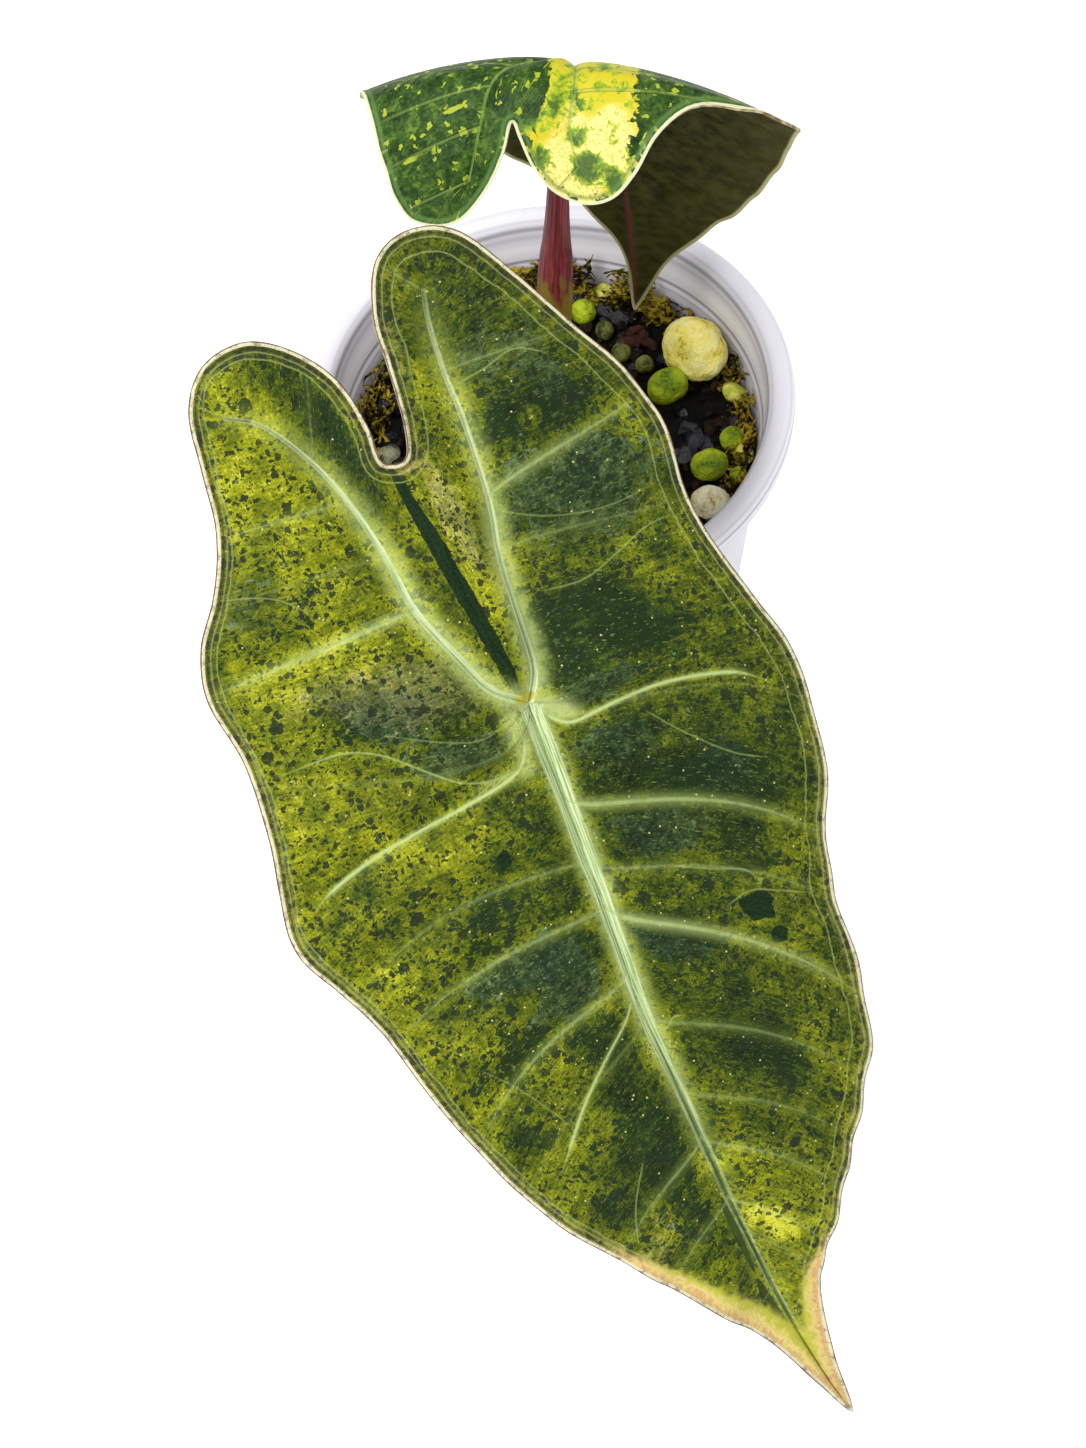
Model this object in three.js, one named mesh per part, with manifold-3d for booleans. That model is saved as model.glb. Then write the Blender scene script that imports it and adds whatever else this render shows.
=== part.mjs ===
// A young variegated alocasia in a milky nursery cup, in millimetres, +Z up.
// The origin is the middle of the cup's base. The front, where the big leaf hangs, is -Y.
import * as THREE from 'three';
import { mergeVertices } from 'three/addons/utils/BufferGeometryUtils.js';
import Module from 'manifold-3d';

const wasm = await Module();
wasm.setup();

// Cup
const POT_HEIGHT = 104;
const RIM_RADIUS = 58.5;
const BASE_RADIUS = 42;
const WALL = 1.1;
const FLOOR = 1.6;
const POT_SIDES = 64;
const DRAIN_RADIUS = 3.2;
const DRAIN_CIRCLE = 28;
const DRAIN_COUNT = 5;

// Potting mix
const SOIL_LEVEL = 84;
const SOIL_TOP_RADIUS = 48.9;
const SOIL_BASE_RADIUS = 40.3;
const SOIL_SIDES = 48;
const SOIL_LUMP = 1.6;
const CHIP_COUNT = 16;
const GAP = 0.35;

// Plant
const STEM = { x: -2.2, y: -4.9, radius: 9, bottom: 66, top: 90 };
const BLADE_THICKNESS = 0.85;
const RIDGE = 2.2;
const RIDGE_WIDTH = 2.4;
const BOSS_WIDTH = 6;
const WIDE_PANEL = 24;
const COLUMNS = [0, 0.05, 0.15, 0.32, 0.54, 0.76, 0.93, 1];

// Seeded numbers between 0 and 1, so that the mix comes out the same each time.
function seeded(seed) {
  let state = seed;
  return () => {
    state = (state + 0x6d2b79f5) | 0;
    let t = Math.imul(state ^ (state >>> 15), 1 | state);
    t = (t + Math.imul(t ^ (t >>> 7), 61 | t)) ^ t;
    return ((t ^ (t >>> 14)) >>> 0) / 4294967296;
  };
}

function signedVolume(position, index) {
  const a = new THREE.Vector3();
  const b = new THREE.Vector3();
  const c = new THREE.Vector3();
  let sum = 0;
  for (let i = 0; i < index.length; i += 3) {
    a.fromBufferAttribute(position, index[i]);
    b.fromBufferAttribute(position, index[i + 1]);
    c.fromBufferAttribute(position, index[i + 2]);
    sum += a.dot(b.cross(c)) / 6;
  }
  return sum;
}

// Merge the shared corners, drop triangles that closed up, and turn every face outwards.
function closedBody(geometry) {
  geometry.deleteAttribute('normal');
  geometry.deleteAttribute('uv');
  const merged = mergeVertices(geometry, 1e-3);
  const all = merged.index.array;
  const kept = [];
  for (let i = 0; i < all.length; i += 3) {
    const [a, b, c] = [all[i], all[i + 1], all[i + 2]];
    if (a !== b && b !== c && c !== a) kept.push(a, b, c);
  }
  if (signedVolume(merged.getAttribute('position'), kept) < 0) kept.reverse();
  merged.setIndex(kept);
  return merged;
}

function toSolid(geometry) {
  const body = closedBody(geometry);
  return new wasm.Manifold(new wasm.Mesh({
    numProp: 3,
    vertProperties: new Float32Array(body.getAttribute('position').array),
    triVerts: new Uint32Array(body.index.array),
  }));
}

function fromSolid(solid) {
  const mesh = solid.getMesh();
  const geometry = new THREE.BufferGeometry();
  geometry.setAttribute('position', new THREE.BufferAttribute(new Float32Array(mesh.vertProperties), 3));
  geometry.setIndex(new THREE.BufferAttribute(new Uint32Array(mesh.triVerts), 1));
  return geometry;
}

// A turned body: the profile is [radius, height] from the axis round to the axis.
function turned(profile, sides) {
  const points = profile.map(([radius, height]) => new THREE.Vector2(radius, height));
  return new THREE.LatheGeometry(points, sides).rotateX(Math.PI / 2);
}

function smoothLine(points, closed) {
  const corners = points.map(([x, y, z = 0]) => new THREE.Vector3(x, y, z));
  return new THREE.CatmullRomCurve3(corners, closed, 'catmullrom', 0.5);
}

// ---- Leaf blades ----
// A blade is drawn flat, with x across it and y from the petiole joint towards the tip.
// Rows of points run from its three ribs out to the margin as the side veins do. Walking once
// round the ribs and once round the outline meets every row. Each knot of the walk says where
// a row starts on a rib, where it ends on the outline (numbered by outline points), how far it
// first hooks along the rib, how far it sags back, and whether it is a side vein.
function bladeRows(leaf, step) {
  const outline = smoothLine(leaf.outline, true);
  const ends = leaf.outline.length;
  const rows = [];
  for (let side = 0; side < leaf.walk.length; side += 1) {
    const { rib, knots } = leaf.walk[side];
    const points = leaf.ribs[rib];
    const line = smoothLine(points, false);
    for (let k = 0; k + 1 < knots.length; k += 1) {
      const [from, to] = [knots[k], knots[k + 1]];
      const a = line.getPoint(from[0] / (points.length - 1));
      const b = line.getPoint(to[0] / (points.length - 1));
      const fan = from[0] === to[0];
      const reach = fan ? Math.abs(to[1] - from[1]) * leaf.fanStep : a.distanceTo(b);
      const pieces = Math.max(1, Math.round(reach / step));
      for (let i = 0; i < pieces; i += 1) {
        const mix = (place) => from[place] + (to[place] - from[place]) * i / pieces;
        const t = mix(0) / (points.length - 1);
        const start = line.getPoint(t);
        const end = outline.getPoint((mix(1) / ends) % 1);
        const along = line.getTangent(Math.min(Math.max(t, 0.001), 0.999));
        const length = start.distanceTo(end);
        const hook = start.clone().addScaledVector(along, mix(2) * length);
        const sag = start.clone().lerp(end, 0.6).addScaledVector(along, -mix(3) * length);
        const path = new THREE.CubicBezierCurve3(start, hook, sag, end);
        rows.push({ path, length, vein: i === 0 && from[4] === 1, ribPlace: t });
      }
    }
  }
  return rows;
}

// How far each row lies between its two neighbouring side veins, 0 at a vein, and how strongly
// the panel between them swells.
function markPhases(rows) {
  const veins = rows.flatMap((row, i) => (row.vein ? [i] : []));
  veins.forEach((first, v) => {
    const next = veins[(v + 1) % veins.length];
    const span = (next - first + rows.length) % rows.length;
    const apart = rows[first].path.v3.distanceTo(rows[next].path.v3);
    for (let i = 0; i < span; i += 1) {
      const row = rows[(first + i) % rows.length];
      row.phase = i / span;
      row.swell = Math.min(1, apart / WIDE_PANEL);
    }
  });
}

// The ribs lie in a valley, the panels between side veins are quilted and the margin waves.
function relief(leaf, row, s, x) {
  const fromRib = s * row.length;
  const valley = leaf.valley * (1 - Math.exp(-((fromRib / leaf.valleyWidth) ** 2)));
  const droop = -leaf.droop * (x / leaf.halfWidth) ** 2;
  const panel = row.swell * Math.sin(Math.PI * row.phase) ** 2;
  const quilt = leaf.quilt * panel * Math.sin(Math.PI * Math.min(1, s * 1.1));
  const wave = leaf.wave * s ** 3 * (panel - 0.4);
  return valley + droop + quilt + wave;
}

// The closed blade between two skins, whose heights over and under give at a place of a row.
function bladeSolid(leaf, step, over, under) {
  const rows = bladeRows(leaf, step);
  markPhases(rows);
  const skins = rows.map((row) => COLUMNS.map((s) => {
    const flat = row.path.getPoint(s);
    const height = relief(leaf, row, s, flat.x);
    const top = leaf.lift(flat.x, flat.y, height + over(s, row, flat));
    const bottom = leaf.lift(flat.x, flat.y, height + under(s, row, flat));
    return { top, bottom };
  }));
  const last = COLUMNS.length - 1;
  const corners = [];
  const quad = (a, b, c, d) => corners.push(a, b, c, a, c, d);
  skins.forEach((row, i) => {
    const next = skins[(i + 1) % skins.length];
    for (let j = 0; j < last; j += 1) {
      quad(row[j].top, next[j].top, next[j + 1].top, row[j + 1].top);
      quad(row[j].bottom, row[j + 1].bottom, next[j + 1].bottom, next[j].bottom);
    }
    quad(row[last].top, next[last].top, next[last].bottom, row[last].bottom);
  });
  return closedBody(new THREE.BufferGeometry().setFromPoints(corners));
}

const bladeTop = () => 0;
const shaveTop = () => 9;

// Under the blade the ribs stand out as ridges, which meet in a boss at the joint.
function bladeBottom(s, row, flat) {
  const ridge = (1 - 0.75 * row.ribPlace) * Math.exp(-((s * row.length / RIDGE_WIDTH) ** 2));
  const boss = Math.exp(-((flat.length() / BOSS_WIDTH) ** 2));
  return -BLADE_THICKNESS - RIDGE * Math.max(ridge, boss);
}

function shaveBottom(s, row, flat) {
  return bladeBottom(s, row, flat) - GAP;
}

// Front leaf: it leans towards the viewer and bends down a little towards its tip.
const FRONT_JOINT = new THREE.Vector3(-15.6, -111.2, 154);
const FRONT_TURN = THREE.MathUtils.degToRad(20);
const FRONT_SLOPE = THREE.MathUtils.degToRad(38);
const FRONT_BEND = THREE.MathUtils.degToRad(0.06);
const UP = new THREE.Vector3(0, 0, 1);

function liftFront(x, y, height) {
  const across = new THREE.Vector3(Math.cos(FRONT_TURN), Math.sin(FRONT_TURN), 0);
  const ahead = new THREE.Vector3(Math.sin(FRONT_TURN), -Math.cos(FRONT_TURN), 0);
  const slope = FRONT_SLOPE + FRONT_BEND * y;
  return FRONT_JOINT.clone()
    .addScaledVector(across, x)
    .addScaledVector(ahead, (Math.sin(slope) - Math.sin(FRONT_SLOPE)) / FRONT_BEND + Math.sin(slope) * height)
    .addScaledVector(UP, (Math.cos(slope) - Math.cos(FRONT_SLOPE)) / FRONT_BEND + Math.cos(slope) * height);
}

const FRONT_LEAF = {
  lift: liftFront,
  halfWidth: 48,
  droop: 5,
  valley: 3.2,
  valleyWidth: 11,
  quilt: 1.5,
  wave: 2.6,
  fanStep: 11,
  outline: [
    [-5, -53.5], [-2, -53.5], [0, -57.5], [1.5, -63], [3, -71], [4.5, -80], [9.5, -89.5], [17, -92.5],
    [26, -89], [33, -78], [41.5, -61], [47.5, -47], [48.8, -38], [47.5, -25], [48, -13], [51.2, 2],
    [54.2, 13], [54.5, 24], [51, 39], [46, 51], [42.3, 62], [41, 73], [39.7, 85], [36.5, 97],
    [30, 107.5], [23, 117], [15, 128], [8, 136.5], [4.5, 145], [2.5, 158], [2, 175], [-3, 163],
    [-8, 150], [-14.5, 138.5], [-24, 124], [-34, 108.5], [-41.5, 95], [-47, 79], [-51, 63], [-54, 47],
    [-58, 36], [-62, 25], [-60, 13], [-57, 1], [-55, -13], [-56, -27], [-53, -37], [-46.5, -45],
    [-40.5, -56], [-38, -68], [-35, -79], [-29, -85.5], [-20, -86], [-12, -80.5], [-7, -72],
    [-5.7, -62], [-6.5, -55.5],
  ],
  ribs: {
    mid: [
      [0, 0], [-0.5, 5], [-1.5, 20], [-2.5, 34], [-3.2, 44], [-4.4, 58], [-5, 68], [-4.8, 86],
      [-4.7, 98], [-4.5, 113], [-4.2, 122], [-3.5, 137], [-2.2, 151], [-0.3, 165], [2, 175],
    ],
    right: [
      [0, 0], [3.6, -5.5], [5, -14.6], [6.8, -27.8], [9.9, -39.2], [12.1, -55], [12.8, -65.4],
      [14.3, -75.2], [16, -81],
    ],
    left: [
      [0, 0], [-5.9, -5.8], [-9.3, -15], [-12.7, -26.5], [-13.3, -38], [-15, -50], [-18, -60],
      [-23.5, -70.5], [-29.5, -75],
    ],
  },
  walk: [
    { rib: 'right', knots: [
      [0, 0, 0, 0], [1, 0.6, 0, 0], [2, 1.2, 0, 0], [3, 1.8, 0, 0], [4, 2.4, 0, 0], [5, 3.2, 0, 0],
      [6, 4.2, 0, 0], [7, 5.1, 0, 0], [8, 6, 0, 0, 1], [8, 8, 0, 0], [7, 8.8, 0, 0], [6, 9.9, 0, 0, 1],
      [5, 10.5, 0, 0], [4, 11.2, 0.08, 0, 1], [3, 13.2, 0.12, 0, 1], [2, 14.3, 0.1, 0],
      [1, 15.1, 0.02, 0], [0, 15.8, 0, 0]] },
    { rib: 'mid', knots: [
      [0, 15.8, 0, 0], [0, 17.2, 0.17, 0.22, 1], [1, 17.8, 0.12, 0.24], [2, 19.2, 0.09, 0.23, 1],
      [3, 20.5, 0.08, 0.23, 1], [4, 22.3, 0.08, 0.22, 1], [5, 23.1, 0.08, 0.24], [6, 23.7, 0.08, 0.27, 1],
      [7, 24.8, 0.08, 0.28, 1], [8, 25.6, 0.08, 0.28, 1], [9, 26.6, 0.08, 0.28, 1],
      [10, 27.3, 0.08, 0.28, 1], [11, 28.2, 0.05, 0.2], [12, 28.9, 0.03, 0.1], [13, 29.5, 0, 0],
      [14, 30, 0, 0, 1], [13, 30.8, 0, 0], [12, 31.8, 0.03, 0.1], [11, 32.6, 0.05, 0.2, 1],
      [10, 33.4, 0.06, 0.2], [9, 33.9, 0.08, 0.22, 1], [8, 34.6, 0.08, 0.22, 1], [7, 35.3, 0.08, 0.2],
      [6, 36.1, 0.08, 0.2, 1], [5, 37, 0.08, 0.27, 1], [4, 38.7, 0.02, 0.2, 1], [3, 39.6, 0, 0.28, 1],
      [2, 40.6, 0.06, 0.14], [1, 41.4, 0.12, 0.03, 1], [0, 42, 0.18, 0], [0, 43.7, 0.25, -0.13, 1],
      [0, 44, 0.05, 0]] },
    { rib: 'left', knots: [
      [0, 44, 0.05, 0], [1, 44.2, 0, 0], [2, 44.7, 0, 0], [3, 45.1, 0, 0, 1], [4, 46.8, 0.02, 0, 1],
      [5, 47.9, 0.05, 0, 1], [6, 48.8, 0, 0], [7, 49.5, 0, 0], [8, 50.2, 0, 0, 1], [8, 51.6, 0, 0],
      [7, 52.2, 0, 0], [6, 53.2, 0, 0, 1], [5, 54.3, 0, 0], [4, 55, 0, 0], [3, 55.5, 0, 0],
      [2, 55.9, 0, 0], [1, 56.3, 0, 0], [0, 57, 0, 0]] },
  ],
};

// Back leaf: it is folded over the top of its petiole, so that its two lobes hang in front
// with their upper side showing and the long blade hangs behind with its underside showing.
const BACK_JOINT = new THREE.Vector3(14, 8, 203);
const BACK_TURN = THREE.MathUtils.degToRad(18);
const BACK_CREST = -9;
const BACK_DIP = 2.6;
const BACK_DIP_AT = 5;
const BACK_DIP_WIDTH = 10;
const BACK_PROFILE = backProfile();

// Pitch of the blade along its length, positive where it falls to the front.
function backPitch(y) {
  const front = 68 * (1 - Math.exp(-Math.max(BACK_CREST - y, 0) / 9));
  const back = -84 * (1 - Math.exp(-Math.max(y - BACK_CREST, 0) / 12));
  return THREE.MathUtils.degToRad(front + back);
}

// The blade's run and rise, added up millimetre by millimetre from the joint both ways.
function backProfile() {
  const places = new Map([[0, { run: 0, rise: 0 }]]);
  for (const way of [1, -1]) {
    for (let n = 1; n < 130; n += 1) {
      const before = places.get(way * (n - 1));
      const pitch = backPitch(way * (n - 0.5));
      places.set(way * n, {
        run: before.run + way * Math.cos(pitch),
        rise: before.rise + way * Math.sin(pitch),
      });
    }
  }
  return places;
}

function liftBack(x, y, height) {
  const across = new THREE.Vector3(Math.cos(BACK_TURN), -Math.sin(BACK_TURN), 0);
  const behind = new THREE.Vector3(Math.sin(BACK_TURN), Math.cos(BACK_TURN), 0);
  const low = BACK_PROFILE.get(Math.floor(y));
  const high = BACK_PROFILE.get(Math.floor(y) + 1);
  const part = y - Math.floor(y);
  const run = low.run + (high.run - low.run) * part;
  const rise = low.rise + (high.rise - low.rise) * part;
  const pitch = backPitch(y);
  const out = height - BACK_DIP * Math.exp(-(((y - BACK_DIP_AT) / BACK_DIP_WIDTH) ** 2));
  return BACK_JOINT.clone()
    .addScaledVector(across, x)
    .addScaledVector(behind, run - Math.sin(pitch) * out)
    .addScaledVector(UP, rise + Math.cos(pitch) * out - 12 * (x / 43) ** 2);
}

const BACK_LEAF = {
  lift: liftBack,
  halfWidth: 43,
  droop: 0,
  valley: 1.2,
  valleyWidth: 7,
  quilt: 0.9,
  wave: 1.4,
  fanStep: 8,
  outline: [
    [-9.6, -19.6], [-8, -22.5], [-5, -28.5], [-0.5, -33.5], [5.5, -35], [11.5, -32.5], [16, -26.5],
    [20, -18], [27, -10.5], [36.5, -7], [43.5, -3], [46, 6], [44, 18], [41.5, 30], [37.5, 42],
    [32, 55], [22.5, 70.5], [13.5, 87], [5.3, 105], [4, 89], [0.5, 76], [-6, 65], [-14, 54],
    [-22, 43.5], [-31, 33], [-40, 21], [-47, 8], [-46, -3], [-41, -14], [-37.5, -24], [-35, -31.5],
    [-31.5, -37.5], [-25, -40], [-19.5, -38.5], [-14, -32], [-10.8, -25],
  ],
  ribs: {
    mid: [[0, 0], [1, 10], [2.5, 24], [4.2, 40], [5.6, 57], [5.8, 74], [5.6, 90], [5.3, 105]],
    right: [[0, 0], [1.5, -7], [2.2, -13], [2, -20], [4, -28]],
    left: [[0, 0], [-5, -3.5], [-11, -6.5], [-15, -12], [-16.4, -20], [-18.5, -31]],
  },
  walk: [
    { rib: 'right', knots: [
      [0, 0, 0, 0], [1, 0.5, 0, 0], [2, 1.1, 0, 0], [3, 1.8, 0, 0], [4, 3, 0, 0, 1], [4, 5, 0, 0],
      [3, 6.6, 0, 0], [2, 8.6, 0, 0, 1], [1, 10, 0, 0, 1], [0, 11, 0, 0]] },
    { rib: 'mid', knots: [
      [0, 11, 0, 0], [0, 12.2, 0.12, 0.15, 1], [1, 13.1, 0.1, 0.2, 1], [2, 14.2, 0.1, 0.24, 1],
      [3, 15.2, 0.1, 0.24, 1], [4, 16, 0.1, 0.24, 1], [5, 16.7, 0.06, 0.2], [6, 17.3, 0, 0.1],
      [7, 18, 0, 0, 1], [6, 18.8, 0, 0.1], [5, 19.6, 0.06, 0.2], [4, 20.4, 0.1, 0.24, 1],
      [3, 21.5, 0.1, 0.24, 1], [2, 22.8, 0.1, 0.24, 1], [1, 24.2, 0.1, 0.2, 1], [0, 25.2, 0.12, 0.1],
      [0, 26, 0, 0]] },
    { rib: 'left', knots: [
      [0, 26, 0, 0], [1, 26.6, 0, 0], [2, 27.3, 0, 0, 1], [3, 28.2, 0, 0, 1], [4, 29.2, 0, 0, 1],
      [5, 30.6, 0, 0, 1], [5, 32.4, 0, 0], [4, 33.6, 0, 0], [3, 34.5, 0, 0], [2, 35.1, 0, 0],
      [1, 35.6, 0, 0], [0, 36, 0, 0]] },
  ],
};

// ---- Stalks ----
// A stalk is a round section that follows a curve and changes its radius on the way.
function stalk(points, radii, sides, steps) {
  const line = smoothLine(points, false);
  const widths = new THREE.CatmullRomCurve3(radii.map((r) => new THREE.Vector3(r, 0, 0)));
  const frames = line.computeFrenetFrames(steps, false);
  const rings = [];
  for (let i = 0; i <= steps; i += 1) {
    const centre = line.getPointAt(i / steps);
    const radius = widths.getPoint(i / steps).x;
    const ring = [];
    for (let k = 0; k < sides; k += 1) {
      const angle = 2 * Math.PI * k / sides;
      ring.push(centre.clone()
        .addScaledVector(frames.normals[i], radius * Math.cos(angle))
        .addScaledVector(frames.binormals[i], radius * Math.sin(angle)));
    }
    rings.push(ring);
  }
  const corners = [];
  for (let k = 0; k < sides; k += 1) {
    const n = (k + 1) % sides;
    for (let i = 0; i < steps; i += 1) {
      corners.push(rings[i][k], rings[i][n], rings[i + 1][n]);
      corners.push(rings[i][k], rings[i + 1][n], rings[i + 1][k]);
    }
    corners.push(line.getPointAt(0), rings[0][n], rings[0][k]);
    corners.push(line.getPointAt(1), rings[steps][k], rings[steps][n]);
  }
  return closedBody(new THREE.BufferGeometry().setFromPoints(corners));
}

// ---- Pot, mix and stones ----
function potBody() {
  const lip = POT_HEIGHT;
  const profile = [
    [0, 0], [BASE_RADIUS - 1.5, 0], [BASE_RADIUS, 1.2], [51.2, 89.2], [51.9, 90.6], [52.9, lip - 3.2],
    [53.3, lip - 2], [56.9, lip - 2.1], [57.5, lip - 2.8], [57.6, lip - 6], [58.3, lip - 6.1],
    [RIM_RADIUS, lip - 2.6], [57.9, lip - 0.9], [56.3, lip], [54.2, lip - 0.2], [52.6, lip - 1.4],
    [51.9, lip - 3.2], [51, 91.2], [50.2, 90], [50.1, 89.2], [BASE_RADIUS - WALL, FLOOR], [0, FLOOR],
  ];
  let pot = toSolid(turned(profile, POT_SIDES));
  for (let i = 0; i < DRAIN_COUNT; i += 1) {
    const angle = 2 * Math.PI * (i + 0.5) / DRAIN_COUNT;
    const drain = new THREE.CylinderGeometry(DRAIN_RADIUS, DRAIN_RADIUS, 4 * FLOOR, 16).rotateX(Math.PI / 2);
    drain.translate(DRAIN_CIRCLE * Math.cos(angle), DRAIN_CIRCLE * Math.sin(angle), FLOOR / 2);
    pot = pot.subtract(toSolid(drain));
  }
  return fromSolid(pot);
}

// Every stone: where it lies, its half lengths, and its colour.
const STONES = [
  { name: 'stone_big_cream', at: [37.9, 16.9, 89.4], size: [7.7, 7.2, 5.2], detail: 2, color: 0xe6df9a },
  { name: 'stone_green_large', at: [29.8, 9.2, 86.4], size: [4.7, 4.4, 4], detail: 1, color: 0x6f8f1e },
  { name: 'stone_yellow_rim', at: [45.6, 4.8, 85.4], size: [2.7, 2.9, 2.4], detail: 1, color: 0xd9d36a },
  { name: 'stone_green_right', at: [35.9, -15.9, 86.6], size: [4.5, 4.2, 3.8], detail: 1, color: 0x5f8420 },
  { name: 'stone_cracked', at: [34.4, -26.6, 86.4], size: [4.6, 4.3, 3.6], detail: 1, color: 0xd9d3a6 },
  { name: 'stone_green_small', at: [42.6, -8.6, 85.4], size: [2.7, 2.6, 2.4], detail: 1, color: 0x6a8a24 },
  { name: 'stone_lime_wall', at: [44.8, -13.4, 85.2], size: [2.2, 2.2, 2.2], detail: 1, color: 0xb4c24a },
  { name: 'stone_green_wall', at: [42.3, -19.4, 85], size: [2.2, 2.2, 2.2], detail: 1, color: 0x58791e },
  { name: 'stone_yellow_back', at: [18.4, 41.6, 85.3], size: [2.5, 2.4, 2.2], detail: 1, color: 0xc9c74e },
  { name: 'stone_green_back', at: [12.8, 36.4, 85.8], size: [3.3, 3.2, 3], detail: 1, color: 0x6d8c1c },
  { name: 'stone_pale_inner', at: [20.2, 22.5, 85.2], size: [2.4, 2.3, 2.2], detail: 1, color: 0xc6c88c },
  { name: 'stone_pale_middle', at: [17.2, 30, 85.2], size: [2.3, 2.2, 2.1], detail: 1, color: 0xbfc27e },
  { name: 'stone_pale_outer', at: [25.4, 17.6, 85.2], size: [2.2, 2.2, 2], detail: 1, color: 0xb9bd7a },
  { name: 'stone_cream_back', at: [-1, 46.4, 85.4], size: [2.1, 2, 2], detail: 1, color: 0xd8cf96 },
  { name: 'stone_grey_sinus', at: [-40.6, 2.3, 85.6], size: [2.7, 2.5, 2.4], detail: 1, color: 0x7d8a4a },
];

// A stone is a ball that a few broad swellings make uneven. grow adds clearance all round.
function stoneBody(stone, number, grow) {
  const random = seeded(100 + number);
  const swellings = [0, 1, 2].map(() => ({
    way: new THREE.Vector3(random() - 0.5, random() - 0.5, random() - 0.5).normalize(),
    lift: 0.05 + 0.07 * random(),
  }));
  const geometry = new THREE.IcosahedronGeometry(1, stone.detail);
  const position = geometry.getAttribute('position');
  const corner = new THREE.Vector3();
  for (let i = 0; i < position.count; i += 1) {
    corner.fromBufferAttribute(position, i);
    const swell = swellings.reduce((sum, { way, lift }) => sum + lift * Math.cos(3 * corner.dot(way)), 0);
    corner.multiplyScalar(0.94 + swell);
    position.setXYZ(
      i,
      stone.at[0] + corner.x * (stone.size[0] + grow),
      stone.at[1] + corner.y * (stone.size[1] + grow),
      stone.at[2] + corner.z * (stone.size[2] + grow),
    );
  }
  return geometry;
}

// The mix: a plug with an uneven top, bark chips fused to it, a hole for the stem and a hollow
// under each stone.
function soilBody() {
  const random = seeded(7);
  const rings = [0, 13, 22, 31, 40, SOIL_TOP_RADIUS];
  const top = rings.map((radius) => Array.from({ length: SOIL_SIDES }, (_, k) => {
    const angle = 2 * Math.PI * k / SOIL_SIDES;
    const rough = radius === 0 ? 0 : SOIL_LUMP * (random() - 0.5) + 1.1 * Math.sin(3 * angle + radius / 6);
    return new THREE.Vector3(radius * Math.cos(angle), radius * Math.sin(angle), SOIL_LEVEL + rough);
  }));
  const base = top[0].map((_, k) => {
    const angle = 2 * Math.PI * k / SOIL_SIDES;
    return new THREE.Vector3(SOIL_BASE_RADIUS * Math.cos(angle), SOIL_BASE_RADIUS * Math.sin(angle), FLOOR + GAP);
  });
  const middle = new THREE.Vector3(0, 0, FLOOR + GAP);
  const corners = [];
  for (let k = 0; k < SOIL_SIDES; k += 1) {
    const n = (k + 1) % SOIL_SIDES;
    for (let i = 0; i + 1 < rings.length; i += 1) {
      corners.push(top[i][k], top[i + 1][k], top[i + 1][n], top[i][k], top[i + 1][n], top[i][n]);
    }
    const edge = top[rings.length - 1];
    corners.push(edge[k], base[k], base[n], edge[k], base[n], edge[n], middle, base[n], base[k]);
  }
  let soil = toSolid(new THREE.BufferGeometry().setFromPoints(corners));
  for (let i = 0; i < CHIP_COUNT; i += 1) {
    const angle = 2 * Math.PI * random();
    const radius = 43.5 * Math.sqrt(random());
    const chip = new THREE.BoxGeometry(3 + 5 * random(), 2.5 + 3 * random(), 2 + 2.5 * random());
    chip.rotateX(0.7 * (random() - 0.5)).rotateY(0.7 * (random() - 0.5)).rotateZ(Math.PI * random());
    chip.translate(radius * Math.cos(angle), radius * Math.sin(angle), SOIL_LEVEL + 0.6);
    soil = soil.add(toSolid(chip));
  }
  const hole = new THREE.CylinderGeometry(STEM.radius + GAP, STEM.radius + GAP, 60, 32).rotateX(Math.PI / 2);
  hole.translate(STEM.x, STEM.y, STEM.bottom - GAP + 30);
  soil = soil.subtract(toSolid(hole));
  STONES.forEach((stone, number) => {
    soil = soil.subtract(toSolid(stoneBody(stone, number, GAP)));
  });
  return fromSolid(soil);
}

// The short stem, sunk in the mix. Both leaf stalks rise from its flat top.
function stemBody() {
  const { radius, bottom, top } = STEM;
  const profile = [[0, bottom], [radius - 2.5, bottom], [radius - 0.4, bottom + 4], [radius, top - 5],
    [radius - 0.2, top - 1], [radius - 0.8, top], [0, top]];
  return closedBody(turned(profile, 24)).translate(STEM.x, STEM.y, 0);
}

const stalkBase = STEM.top + GAP;
const backStalk = stalk(
  [[0.2, -1, stalkBase], [0.2, -1, 97], [2.2, 0.4, 116], [5.4, 2.8, 146], [9.2, 5.3, 180],
    [14, 8, 204]],
  [3.6, 3.5, 3.5, 3.4, 2.6, 2.4, 2.3],
  14,
  12,
);
const frontStalk = stalk(
  [[-3.7, -8.7, stalkBase], [-3.7, -8.7, 97], [-4.3, -13, 114], [-5.6, -27, 134], [-8.4, -52, 148],
    [-12, -82, 149.5], [-15.2, -106, 149.5], [-15.9, -110.6, 152.4]],
  [3.6, 3.6, 3.6, 3.4, 3, 2.7, 2.5, 2.5],
  14,
  18,
);

// A stalk ends just under its blade: a thick copy of the blade shaves its end to fit.
function shaved(stalkGeometry, leaf, step) {
  return fromSolid(toSolid(stalkGeometry).subtract(toSolid(bladeSolid(leaf, step, shaveTop, shaveBottom))));
}

const FRONT_STEP = 6.5;
const BACK_STEP = 5.2;
const plant = new THREE.Group();
plant.name = 'potted_alocasia';

function add(name, geometry, color, roughness, metalness = 0) {
  const material = new THREE.MeshStandardMaterial({ color, roughness, metalness });
  const mesh = new THREE.Mesh(geometry, material);
  mesh.name = name;
  plant.add(mesh);
}

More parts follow.
